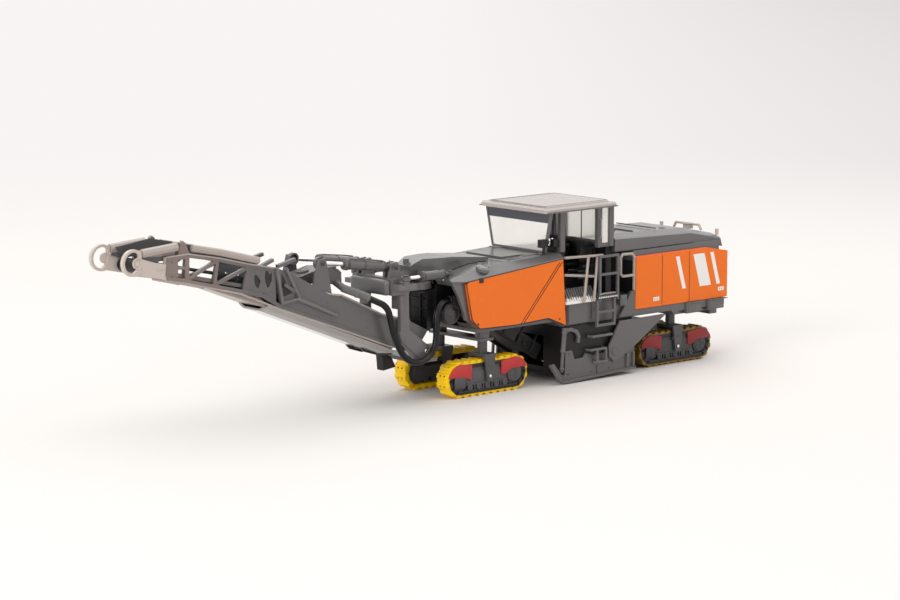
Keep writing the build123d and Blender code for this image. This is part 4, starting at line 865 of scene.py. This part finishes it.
class PLANER_OT_cab_fittings(bpy.types.Operator):
    """Sun band, console, pillars, panes, levers, screens, wheel, cushions and roof lines of the cab."""

    bl_idname = "planer.cab_fittings"
    bl_label = "Cab fittings"

    def execute(self, context):
        band = plate(((-11.6, 43.5), (11.6, 43.5), (11.05, 41.3), (-11.05, 41.3)), -31.98, 0.06, flat="x")
        placed(band, "sun_band", "band")
        screens = [block((-31.9, 10.05, 35.6), (-31.72, 11.15, 37.0), 0.05),
                   block((-36.25, 9.4, 35.4), (-36.08, 10.4, 36.6), 0.05)]
        placed(screens, "monitor_faces", "black")
        levers = []
        for y in (-6.4, -5.2, 2.6, 3.8, 5.6, 6.6):
            levers += [rod((-39.6, y, 33.2), (-40.1, y, 35.0), 0.12, 8),
                       turned((-40.15, y, 35.2), (-0.3, 0, 1), 0.24, 0.4, (), 10, 0.08)]
        placed(levers, "console_levers", "dark")
        keys = [block((x - 0.5, y - 0.25, z - 0.25), (x, y + 0.25, z), 0.05)
                for x, z in ((-38.8, 34.0), (-37.9, 34.58)) for y in (-7.6, -6.9, -3.4, -2.7, 7.3, 7.9)]
        placed(keys, "console_keys", "pale")
        console = taken("cab_console", "console", lambda x, y, z: y < -8.4 and z > 33.9 and x > -37.5)
        placed(console, "console_block", "dark")
        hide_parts("cab_console")
        pillars = taken("cab_pillars", "pillars")
        for corner in pillars.data.vertices:
            x, y, z = corner.co / MM
            if x < REAR_GLASS_X and 2.8 < abs(y) < 3.8 and z > 40:
                corner.co.z = 34.5 * MM
        reworked(pillars, MERGED)
        mullion = block((-54.75, -0.14, 34.45), (-54.25, 0.14, 43.85), 0.05)
        placed([pillars, mullion], "cab_frame", "grey")
        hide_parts("cab_pillars")
        panes = taken("cab_windows", "panes", lambda x, y, z: x < REAR_GLASS_X and abs(y) < 9.9)
        rear = [block((-54.7, low, 34.6), (-54.3, high, 43.8)) for low, high in ((-9.8, -0.2), (0.2, 9.8))]
        placed([panes, *rear], "cab_panes", "glass")
        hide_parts("cab_windows")
        tilt = Vector((-2.8, 0, 1.4)).to_track_quat("Z", "Y").to_euler()
        wheel = [rod((-39.8, 0, 33.2), WHEEL_HUB, 0.25, 12, 0.04), torus(WHEEL_HUB, tilt, 1.7, 0.16, 28, 8)]
        wheel += [rod(WHEEL_HUB, Vector(WHEEL_HUB) + Vector(reach), 0.1, 8)
                  for reach in ((0, 1.65, 0), (0, -1.65, 0), (-0.74, 0, -1.48))]
        placed(wheel, "steering_wheel", "dark")
        seats = []
        for y in (-4.6, 4.6):
            seats += [block((-51.0, y - 1.95, 26.7), (-46.8, y + 1.95, 27.5), 0.34, 4),
                      block((-52.15, y - 1.85, 27.4), (-51.25, y + 1.85, 32.6), 0.34, 4),
                      block((-52.6, y - 1.0, 33.0), (-52.0, y + 1.0, 34.3), 0.22, 3),
                      turned((-49.5, y, 22.2), UP, 1.25, 0.5, ((0.3, 0.3),), 20, 0.05)]
        placed(seats, "seat_cushions", "dark")
        roof = [
            mirrored(block((-54.0, 9.6, ROOF_LOW), (-31.6, 9.78, ROOF_HIGH), 0.04)),
            *(block((x, -9.7, ROOF_LOW), (x + 0.2, 9.7, ROOF_HIGH), 0.04) for x in (-54.0, -31.8)),
            mirrored(block((-55.1, 12.55, 43.95), (-30.1, 12.68, 44.25), 0.04)),
        ]
        placed(roof, "roof_lines", "grey")
        handle = [(-50.2, y, z) for y, z in ((11.15, 36.0), (11.6, 36.4), (11.6, 40.6), (11.15, 41.0))]
        placed(mirrored(wire_bar(handle, 0.14)), "cab_handles", "pale")
        return {"FINISHED"}


class PLANER_OT_tail_fittings(bpy.types.Operator):
    """Latch plates, slanted bars, seams, caps, lamps, hand loops, locker lids and bumper of the tail."""

    bl_idname = "planer.tail_fittings"
    bl_label = "Tail fittings"

    def execute(self, context):
        thick = context.scene.planer_sizes.print_thick / MM
        latches = [block((x - 1.1, TAIL_Y - 0.05, z - 0.5), (x + 1.1, TAIL_Y + 0.1, z + 0.5), 0.08)
                   for x, z in LATCHES]
        placed(mirrored(*latches), "latch_plates", "white")
        slots = [block((x - 0.45, TAIL_Y + 0.08, z - 0.18), (x - 0.1, TAIL_Y + 0.13, z + 0.2), 0.02)
                 for x, z in ((x + 0.9 * k, z) for x, z in LATCHES for k in (-1, 0, 1))]
        placed(mirrored(*slots), "latch_slots", "pale")
        bars = [plate(((x, 28.9), (x - w, 28.9), (x - w - 2.6, 20.2), (x - 2.6, 20.2)), TAIL_Y, thick)
                for x, w in ((-76.6, 1.3), (-83.2, 4.2), (-89.6, 1.3))]
        placed(mirrored(*bars), "slanted_bars", "white")
        seams = [block((x - 0.08, TAIL_Y - 0.3, 16.6), (x + 0.08, TAIL_Y - 0.08, 29.7)) for x in (-71.6, -81.8)]
        placed(mirrored(*seams), "door_seams", "black")
        hood = [block((x, -7.3, 35.9), (x + 0.14, 7.3, 36.22), 0.03) for x in (-66.0, -74.5)]
        hood += [block((-62.9, -2.7, 36.45), (-59.1, 2.7, 36.62), 0.06),
                 turned((-69.5, -5.2, 35.9), UP, 0.9, 0.6, ((0.2, 0.12),), 24, 0.05),
                 turned((-79.0, 5.0, 35.2), UP, 1.0, 0.9, ((0.22, 0.12),), 24, 0.05)]
        placed(hood, "engine_hood_seams", "body_grey")
        bowl = turned((-93.0, 1.2, 35.1), UP, 1.45, 0.5, ((0.2, -0.25),), 28, 0.06)
        placed(bowl, "tail_bowl", "pale")
        lamps = [block((-96.55, y - 0.9, z), (-96.25, y + 0.9, z + 1.2), 0.12, 3)
                 for z in (24.4, 22.9) for y in (-10.6, 10.6)]
        placed(lamps, "tail_lamps", "tail_lamp")
        loop = ((-61.1, 21.7), (-61.1, 30.4), (-60.4, 31.2), (-56.9, 31.3), (-56.2, 30.6), (-56.2, 26.3),
                (-57.0, 25.6), (-61.1, 25.6))
        rail = wire_bar([(x, TAIL_Y, z) for x, z in loop], 0.38, 4)
        placed(mirrored(rail), "rear_hand_loops", "pale")
        lids = []
        for low, high in ((-85.8, -80.7), (-94.4, -88.8)):
            lids += [block((low + 0.3, 13.05, 13.9), (high - 0.3, 13.22, 15.9), 0.08),
                     block((low, 12.2, 16.1), (high, 13.35, 16.38), 0.08)]
        placed(mirrored(*lids), "locker_lids", "grey")
        lip = plate(((-95.2, 16.3), (-97.2, 16.0), (-97.2, 15.8), (-95.2, 15.9)), 9.6, 2.6, 0.05)
        placed(mirrored(lip), "tail_lip", "grey")
        heads = [(-96.35, y, z) for y in (-7.8, 7.8, -5.0, 5.0) for z in (12.3, 14.7)]
        hitch = [block((-96.6, -2.0, 12.2), (-96.1, 2.0, 14.8), 0.12),
                 turned((-96.75, 0, 13.5), (-1, 0, 0), 0.8, 0.5, ((0.2, -0.2),), 20, 0.05),
                 bolts(heads, (-1, 0, 0), 0.22)]
        placed(hitch, "bumper_fittings", "deep_grey")
        return {"FINISHED"}


class PLANER_OT_deck_fittings(bpy.types.Operator):
    """Tread dots, deck boxes and the plate bolts of the middle of the body."""

    bl_idname = "planer.deck_fittings"
    bl_label = "Deck and side fittings"

    def execute(self, context):
        spots = [(-53.5 + 0.62 * k, 14.02, 21.12) for k in range(11)]
        dots = copied(turned((0, 0, 0), ACROSS, 0.2, 0.14, ((0.05, 0.03),), 8), spots)
        placed(mirrored(dots), "tread_dots", "silver")
        shelf = block((-53.2, 12.9, 21.9), (-47.6, 14.0, 22.15), 0.08)
        placed(mirrored(shelf), "tread_shelf", "pale")
        boxes = [block((-58.0, 12.35, 18.1), (-55.6, 13.3, 20.9), 0.16),
                 block((-57.6, 13.28, 18.5), (-56.0, 13.42, 20.5), 0.08)]
        placed(mirrored(*boxes), "side_boxes", "grey")
        spots = ((-37.6, 7.6), (-37.3, 2.4), (-45.5, 2.2), (-52.0, 2.4), (-59.8, 2.6), (-44.6, 6.3))
        heads = bolts([(x, PLATE_Y, z) for x, z in spots], ACROSS, 0.22)
        placed(mirrored(heads), "side_plate_bolts", "deep_grey")
        seam = block((-47.6, PLATE_Y, 1.6), (-47.4, PLATE_Y + 0.05, 6.2), 0.02)
        placed(mirrored(seam), "side_plate_seams", "deep_grey")
        boss = turned((-53.4, 13.85, 6.7), ACROSS, 1.05, 0.16, ((0.3, -0.06), (0.35, 0.1)), 24, 0.03)
        placed(mirrored(boss), "arm_bosses", "grey")
        sizes = ((-35.95, 13.2, 0.72, 0.5), (-35.5, 8.6, 0.7, 0.7), (-35.1, 4.0, 0.6, 0.6))
        caps = [turned((x, 12.9, z), (-0.1, 0, 1), radius, high, (), 20, 0.06) for x, z, radius, high in sizes]
        placed(mirrored(*caps), "side_plate_cylinder_caps", "grey")
        seams = [block((x, 12.28, 15.6), (x + 0.2, 12.36, 19.8), 0.02) for x in (-46.2, -38.0)]
        placed(mirrored(*seams), "tank_seams", "deep_grey")
        return {"FINISHED"}


# Bracket and cylinders

LIFT_X, LIFT_Z = 6.2, 12.7
LIFT_BARREL_X, LIFT_BARREL_Z = 15.2, 34.2
SLEW_BARREL_X, SLEW_BARREL_Y = -0.2, 9.4
CAP_STEPS = ((0.2, 0.06),)


class PLANER_OT_bracket_fittings(bpy.types.Operator):
    """Pins, front beam, weld ribs, ring bolts and pin caps of the slewing bracket."""

    bl_idname = "planer.bracket_fittings"
    bl_label = "Bracket fittings"

    def execute(self, context):
        pins = turned((LIFT_X, 7.72, LIFT_Z), ACROSS, 0.5, 0.3, ((0.12, 0.08),), 24, 0.03)
        placed(mirrored(pins), "lift_pin_caps", "chrome", "swing")
        ring = [bolts([(4.0 + dx, dy, 29.15) for dx, dy in circle(14, 4.2) if dx < 3.6], UP, 0.2),
                mirrored(block((11.6, 5.2, 30.05), (14.6, 7.4, 30.4), 0.1)),
                block((15.1, -7.2, 31.35), (16.7, 7.2, 31.55), 0.06)]
        placed(ring, "bracket_ring_bolts", "bracket", "swing")
        beam = block((16.6, -6.9, 27.4), (18.5, 6.9, 31.2), 1.0, 5)
        placed(beam, "bracket_front_beam", "bracket", "swing")
        ribs = [plate(((13.2, 27.2), (14.5, 27.2), (14.5, 18.6), (14.1, 18.6)), 7.45, 0.28, 0.06),
                plate(((8.3, 11.0), (13.2, 15.2), (12.9, 15.6), (7.9, 11.5)), 7.45, 0.28, 0.06),
                turned((LIFT_X, 7.55, LIFT_Z), ACROSS, 1.2, 0.2, ((0.3, -0.05),), 28, 0.04)]
        placed(mirrored(*ribs), "bracket_ribs", "bracket", "swing")
        eyes = [turned((LIFT_BARREL_X, 6.98, LIFT_BARREL_Z), ACROSS, 0.62, 0.2, CAP_STEPS, 20, 0.03),
                turned((14.2, SLEW_BARREL_Y, 32.28), UP, 0.7, 0.2, CAP_STEPS, 20, 0.03)]
        placed(mirrored(*eyes), "bracket_pin_caps", "deep_grey", "swing")
        front = turned((37.8, 6.38, 37.2), ACROSS, 0.62, 0.2, CAP_STEPS, 20, 0.03)
        placed(mirrored(front), "girder_pin_caps", "deep_grey", "conveyor")
        rear = turned((SLEW_BARREL_X, SLEW_BARREL_Y, 32.2), UP, 0.7, 0.2, CAP_STEPS, 20, 0.03)
        placed(mirrored(rear), "nose_pin_caps", "deep_grey")
        return {"FINISHED"}


class PLANER_OT_cylinder_fittings(bpy.types.Operator):
    """Glands, ports and collars of the lift and slew cylinders."""

    bl_idname = "planer.cylinder_fittings"
    bl_label = "Cylinder fittings"

    def execute(self, context):
        along = Vector((22.6, 0, 3.0)).normalized()
        for side, way in SIDES:
            start = Vector((LIFT_BARREL_X, way * 4.9, LIFT_BARREL_Z))
            out = Vector((0, way * 0.5, 1)).normalized()

            def place(reach, rise):
                return start + along * reach + out * rise

            parts = [turned(place(s, 0), along, r, w, (), 28, 0.05)
                     for s, r, w in ((2.6, 1.36, 0.5), (14.4, 1.45, 0.7), (9.0, 1.32, 0.25))]
            parts += [rod(place(3.4, 1.1), place(3.4, 1.55), 0.28, 10, 0.04),
                      wire_bar([place(3.4, 1.5), place(6.0, 1.62), place(13.6, 1.5)], 0.16)]
            placed(parts, f"lift_gland_{side}", "deep_grey", f"lift_barrel_{side}")
            start = Vector((SLEW_BARREL_X, way * SLEW_BARREL_Y, 31.6))
            parts = [turned(start + Vector((s, 0, 0)), AHEAD, r, w, (), 28, 0.05)
                     for s, r, w in ((2.5, 1.25, 0.4), (9.1, 1.34, 0.6))]
            parts.append(rod(start + Vector((3.4, 0, 1.0)), start + Vector((3.4, 0, 1.5)), 0.25, 10, 0.04))
            placed(parts, f"slew_gland_{side}", "deep_grey", f"slew_barrel_{side}")
        return {"FINISHED"}


# Conveyor

FOOT, BEND, HEAD = (10.0, 0, 16.0), (51.0, 0, 32.2), (88.2, 0, 40.6)
FLAP_Y = 2.6
CLEAT_PITCH = 3.4
PAN_START, PAN_LENGTH, PAN_LOW, PAN_RISE = 54.2, 17.2, 28.2, 6.4


class PLANER_OT_girder_fittings(bpy.types.Operator):
    """Rollers, cross members, beads, skirts, trough, tip rings, slots and bolts of the conveyor."""

    bl_idname = "planer.girder_fittings"
    bl_label = "Girder fittings"

    def execute(self, context):
        slope = (HEAD[2] - BEND[2]) / (HEAD[0] - BEND[0])
        rollers = [rod((x, -4.9, z), (x, 4.9, z), 0.5, 16, 0.05)
                   for x, z in ((x, BEND[2] - 2.15 + (x - BEND[0]) * slope) for x in (57.5, 65.0, 72.5, 79.5))]
        placed(rollers, "return_rollers", "pale", "conveyor")
        members = [block((x - 0.35, -5.6, z - 0.3), (x + 0.35, 5.6, z + 0.3), 0.08)
                   for x, z in ((62.0, 32.7), (70.1, 34.9), (77.9, 36.8))]
        placed(members, "cross_members", "grey", "conveyor")
        lines = ((46.2, 29.7), (33.9, 24.4)), ((52.1, 37.6), (50.5, 29.0), (45.2, 29.6), (49.2, 37.0))
        hoops = [wire_bar([(x, 6.75, z) for x, z in line], 0.42, 4) for line in lines]
        placed(mirrored(*hoops), "hoop_beads", "bracket", "conveyor")
        hole = plate(((50.3, 36.0), (47.4, 31.0), (50.4, 30.4)), 6.28, 0.08)
        placed(mirrored(hole), "hoop_holes", "shadow", "conveyor")
        edge = [(10.6, 6.5, 20.6), (19.6, 6.5, 23.15), (32.2, 6.5, 29.05), (35.4, 6.5, 29.6)]
        foot = [(15.8, 6.35, 14.5), (35.4, 6.4, 21.9), (50.4, 6.4, 27.4), (62.8, 6.4, 32.5), (78.7, 6.4, 36.5),
                (84.5, 6.4, 37.6)]
        chord = [(52.6, 6.45, 37.6), (60.1, 6.45, 39.2), (69.2, 6.45, 41.5), (77.8, 6.45, 43.2),
                 (84.2, 6.45, 43.0)]
        beads = [wire_bar(line, radius) for line, radius in ((edge, 0.26), (foot, 0.24), (chord, 0.2))]
        placed(mirrored(*beads), "girder_beads", "pale", "conveyor")
        skirts = [plate(outline, 5.3, 0.22) for outline in (
            ((76.7, 44.2), (68.2, 42.4), (57.4, 39.5), (57.4, 38.0), (68.2, 40.6), (77.2, 42.6)),
            ((90.9, 43.6), (84.4, 43.3), (84.2, 42.2), (87.8, 41.9), (91.0, 42.9)))]
        placed(mirrored(*skirts), "tube_skirts", "grey", "conveyor")
        trough = taken("conveyor_trough", "trough")
        for corner in trough.data.vertices:
            if abs(abs(corner.co.y) - FLAP_Y * MM) < 0.02 * MM and corner.co.z < 13 * MM:
                corner.co.y *= 0.45
        placed(trough, "trough_sheet", "trough", "conveyor")
        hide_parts("conveyor_trough")
        strip = plate(((23.4, 15.1), (18.2, 13.0), (18.2, 12.5), (22.0, 13.7)), 2.2, 0.8, 0.04)
        placed(mirrored(strip), "trough_strips", "dark", "conveyor")
        outline = ((54.3, 28.2), (53.6, 28.9), (56.2, 31.0), (62.6, 32.7), (70.0, 34.5), (71.6, 34.85))
        taper = mirrored(plate(outline, 4.6, 0.3, 0.04))
        pan = plate(((-4.8, 54.2), (4.8, 54.2), (3.2, 71.4), (-3.2, 71.4)), 0.0, 0.2, flat="z")
        for corner in pan.data.vertices:
            rise = PAN_RISE * (corner.co.y / MM - PAN_START) / PAN_LENGTH
            corner.co = Vector((corner.co.y, corner.co.x, corner.co.z + (PAN_LOW + rise) * MM))
        placed([taper, reworked(pan, OUTWARD)], "trough_tapers", "pale", "conveyor")
        gusset = ((90.1, 44.7), (80.1, 45.9), (73.8, 44.6), (73.8, 43.0), (82.5, 41.8), (88.3, 42.6))
        placed(mirrored(plate(gusset, 5.02, 0.25)), "inner_skirts", "mid_grey", "conveyor")
        tips, rings = [], []
        cut = {"plane_co": Vector((91.6, 0, 0)) * MM, "plane_no": AHEAD, "use_fill": True, "clear_inner": True}
        for s in (-1, 1):
            tips += [turned((92.2, s * 6.3, 42.3), (0, s, 0), 1.25, 0.5, ((0.2, -0.2), (0.4, 0.15)), 24, 0.05),
                     rod((84.9, s * 6.55, 40.2), (87.0, s * 6.55, 40.3), 0.18, 8, 0.04)]
            ring = torus((93.3, s * 6.1, 42.5), (pi / 2, 0, 0), 2.78, 0.36, 48, 10)
            rings.append(reworked(ring, (bpy.ops.mesh.bisect, cut)))
        placed(tips, "tip_bosses", "cream", "conveyor")
        placed(rings, "tip_rings", "cream", "conveyor")
        slots = [plate([(x + wide * c + 0.25 * s, z + high * s) for c, s in circle(24)], 6.25, 0.1)
                 for x, z, wide, high in ((57.9, 35.0, 0.6, 1.55), (54.6, 35.2, 0.75, 1.95))]
        placed(mirrored(*slots), "girder_slots", "shadow", "conveyor")
        spots = ((82.5, 38.5), (82.5, 41.6), (53.6, 31.4), (55.8, 31.9), (59.0, 33.3), (59.4, 37.4),
                 (36.2, 24.5), (36.2, 27.6), (48.0, 33.6), (24.0, 20.0))
        heads = bolts([(x, 6.32, z) for x, z in spots], ACROSS, 0.22)
        placed(mirrored(heads), "girder_bolts", "grey", "conveyor")
        return {"FINISHED"}


class PLANER_OT_belt_cleats(bpy.types.Operator):
    """V-shaped cleats on the belt, and the fittings of the duct and its fan."""

    bl_idname = "planer.belt_cleats"
    bl_label = "Belt cleats"

    def execute(self, context):
        outline = ((-0.25, 0.0), (1.6, 3.9), (2.0, 3.9), (0.25, 0.0), (2.0, -3.9), (1.6, -3.9))
        cleat = plate(outline, -0.05, 0.3, 0.05, flat="z")
        moves = []
        for start, end, first, last in ((FOOT, BEND, 6.0, 40.0), (BEND, HEAD, 2.0, 36.0)):
            run = (Vector(end) - Vector(start)).normalized()
            turn = run.to_track_quat("X", "Z").to_matrix().to_4x4()
            count = int((last - first) / CLEAT_PITCH)
            for k in range(count + 1):
                place = Vector(start) + run * (first + k * (last - first) / count) + turn @ Vector(UP) * 1.5
                if not 27.5 < place.x < 46:
                    moves.append(Matrix.Translation(place * MM) @ turn)
        placed(copied(cleat, moves), "belt_cleats", "belt", "conveyor")
        bend = [(31.3, 5.7, 30.65), (29.6, 6.75, 29.85), (28.2, 7.6, 29.2), (25.4, 8.3, 27.95)]
        duct = [wire_bar(bend, 0.98, 5),
                turned((25.6, 8.28, 28.0), (3.0, -0.8, 1.4), 1.12, 0.6, (), 24, 0.08),
                turned((28.3, 7.55, 29.25), (3.0, -1.4, 1.3), 1.1, 0.5, (), 24, 0.08)]
        hump = [block((30.6, -2.8, 34.95), (34.9, 2.8, 35.55), 0.2, 3),
                turned((39.0, 0, 34.95), (0.24, 0, 1), 1.6, 0.5, ((0.3, -0.1), (0.5, 0.12)), 28, 0.06)]
        placed(duct + hump, "duct_fittings", "grey", "conveyor")
        return {"FINISHED"}


class PLANER_OT_hoses(bpy.types.Operator):
    """The two lengths of the extraction hose, with their cuffs."""

    bl_idname = "planer.hoses"
    bl_label = "Extraction hose"

    def execute(self, context):
        radius = context.scene.planer_sizes.hose / MM
        meeting = (9.9, 9.0, 10.47)  # the low end, on the bracket
        rear = [(-1.5, 8.2, 24.8), (0.8, 8.3, 24.8), (2.67, 8.5, 23.4), (3.8, 8.7, 21.3), (3.85, 8.9, 17.3),
                (4.26, 9.0, 13.9), (5.9, 9.0, 11.65), (8.4, 9.0, 10.47), meeting]
        front = [meeting, (11.4, 9.0, 10.47), (13.9, 9.0, 11.8), (15.7, 9.0, 13.9), (17.3, 9.0, 16.9),
                 (18.6, 9.0, 20.9), (19.4, 9.0, 24.2), (20.9, 9.0, 25.8), (22.9, 9.0, 26.7),
                 (25.3, 8.37, 27.85)]
        lower = placed(wire_bar(rear, radius, 6, smooth=True), "hose_lower", "hose", None, 60)
        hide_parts("hose_rear")
        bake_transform(lower)
        upper = placed(wire_bar(front, radius, 6, smooth=True), "hose_upper", "hose", None, 60)
        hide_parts("hose_front")
        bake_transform(upper)
        cuff = turned((-1.3, 8.2, 24.8), (1, 0.05, 0), 1.02, 0.9, ((0.15, 0.05),), 24, 0.08)
        placed(cuff, "hose_cuff", "dark")
        return {"FINISHED"}


# Finishes of the frame's nodes, and the studio

EYE = Vector((0.5061, 0.5716, 0.1416))
AIM = Vector((-0.00861, 0.0, 0.02297))
LENS = 124.6
ROLL = radians(0.06)
NEAR_FLOOR, FAR_FLOOR = 230.0, 620.0
AIR_ON_MODEL, AIR_SEEN = 0.36, 0.96
LAMPS = (
    ("soft_box_above", (-0.2, -0.15, 1.15), (0, 0, 0), 2.6, 27.0),
    ("soft_box_front", (1.15, 0.2, 0.42), (0, 0, 0.02), 0.7, 8.0),
    ("soft_box_side", (-0.6, 1.1, 0.5), (-0.03, 0, 0.02), 0.7, 2.2),
)


class PLANER_OT_plastics(bpy.types.Operator):
    """Makes every finish and gives it to the frame's own nodes."""

    bl_idname = "planer.plastics"
    bl_label = "Plastics and prints"

    def execute(self, context):
        make_finishes()
        wanted = {node: finish for finish, nodes in NODE_FINISH.items() for node in nodes.split()}
        for tag, *_, front in tracks():
            wanted[f"track_belt_{tag}"] = "yellow" if front else "ochre"
            wanted[f"track_frame_{tag}"] = "frame_dark" if front else "frame_rear"
            wanted[f"track_fork_{tag}"] = "frame_dark"
            wanted[f"track_guards_{tag}"] = "red"
        left = set(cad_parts) - set(wanted)
        if left:
            raise RuntimeError(f"no finish for {sorted(left)}")
        for node, finish in wanted.items():
            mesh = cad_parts[node].data
            mesh.materials.clear()
            mesh.materials.append(FINISHES[finish])
        return {"FINISHED"}


def floor_finish():
    """Matt paper near the model, and further off a pale ground with painted shade, darker to one side."""
    finish = Finish("studio_paper")
    paper = finish.mix(finish.cloud(400.0, 1.0), tint(228, 225, 222), tint(232, 229, 226))
    values = {"Base Color": paper, "Roughness": 0.9, "Specular IOR Level": 0.1}
    lit = finish.add("ShaderNodeBsdfPrincipled", {}, values, "BSDF")
    # Painted shade: the far ground darkens to one side.
    side = (finish.axis("X") * -0.00074 + finish.axis("Y") * 0.00066).within(0.0, 0.5)
    ground = finish.mix(side, tint(248, 244, 243), tint(216, 211, 210))
    plain = finish.add("ShaderNodeEmission", {}, {"Color": ground, "Strength": 1.0}, "Emission")
    reach = finish.add("ShaderNodeVectorMath", {"operation": "LENGTH"}, {0: finish.place}, "Value")
    values = {"Value": reach * (1 / MM), "From Min": NEAR_FLOOR, "From Max": FAR_FLOOR}
    far = finish.add("ShaderNodeMapRange", {"interpolation_type": "SMOOTHSTEP"}, values)
    both = finish.add("ShaderNodeMixShader", {}, {0: far * finish.eyed(), 1: lit, 2: plain}, "Shader")
    finish.shown("ShaderNodeOutputMaterial", both)
    return finish.material


class PLANER_OT_studio(bpy.types.Operator):
    """Pale floor, soft boxes, world and the camera at the photograph's angle."""

    bl_idname = "planer.studio"
    bl_label = "Studio"

    def execute(self, context):
        fresh()
        bpy.ops.mesh.primitive_plane_add(size=12.0, location=(0, 0, 0))
        floor = settled(context.object)
        floor.name = "studio_floor"
        floor.data.materials.append(floor_finish())
        context.scene.world = bpy.data.worlds.new("studio_air")
        air = Graph(context.scene.world)
        power = air.eyed() * (AIR_SEEN - AIR_ON_MODEL) + AIR_ON_MODEL
        values = {"Color": (*tint(250, 248, 247), 1), "Strength": power}
        air.shown("ShaderNodeOutputWorld", air.add("ShaderNodeBackground", {}, values))
        for name, place, aim, size, power in LAMPS:
            fresh()
            bpy.ops.object.light_add(type="AREA", location=place)
            lamp = context.object
            lamp.name = name
            lamp.data.shape = "SQUARE"
            lamp.data.size = size
            lamp.data.energy = power
            lamp.data.color = (1.0, 0.995, 0.99)
            lamp.rotation_euler = (Vector(aim) - Vector(place)).to_track_quat("-Z", "Y").to_euler()
        fresh()
        bpy.ops.object.camera_add(location=EYE)
        camera = context.object
        turn = (AIM - EYE).to_track_quat("-Z", "Y").to_matrix().to_4x4()
        camera.rotation_euler = (turn @ Matrix.Rotation(ROLL, 4, "Z")).to_euler()
        camera.data.sensor_width = 36.0
        camera.data.lens = LENS
        context.scene.camera = camera
        context.scene.view_settings.view_transform = "Standard"
        return {"FINISHED"}


STEPS = (
    PLANER_OT_studio, PLANER_OT_plastics, PLANER_OT_track_belts, PLANER_OT_track_fittings,
    PLANER_OT_nose_fittings, PLANER_OT_chute_fittings, PLANER_OT_cab_fittings, PLANER_OT_tail_fittings,
    PLANER_OT_deck_fittings, PLANER_OT_bracket_fittings, PLANER_OT_cylinder_fittings,
    PLANER_OT_girder_fittings, PLANER_OT_belt_cleats, PLANER_OT_hoses,
)


class PLANER_PT_panel(bpy.types.Panel):
    """Lists the steps, sizes and colours of the model's dressing."""

    bl_label = "Cold planer model"
    bl_idname = "PLANER_PT_panel"
    bl_space_type = "VIEW_3D"
    bl_region_type = "UI"
    bl_category = "Planer"

    def draw(self, context):
        for step in STEPS:
            self.layout.operator(step.bl_idname)
        for group in (context.scene.planer_sizes, context.scene.planer_colours):
            for name in group.__annotations__:
                self.layout.prop(group, name)


CLASSES = (PlanerSizes, PlanerColours, *STEPS, PLANER_PT_panel)


def register():
    for each in CLASSES:
        bpy.utils.register_class(each)
    bpy.types.Scene.planer_sizes = PointerProperty(type=PlanerSizes)
    bpy.types.Scene.planer_colours = PointerProperty(type=PlanerColours)


def unregister():
    del bpy.types.Scene.planer_colours
    del bpy.types.Scene.planer_sizes
    for each in reversed(CLASSES):
        bpy.utils.unregister_class(each)


def main():
    """Registers the add-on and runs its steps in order."""
    register()
    for step in STEPS:
        group, name = step.bl_idname.split(".")
        getattr(getattr(bpy.ops, group), name)()


if __name__ == "__main__":
    main()
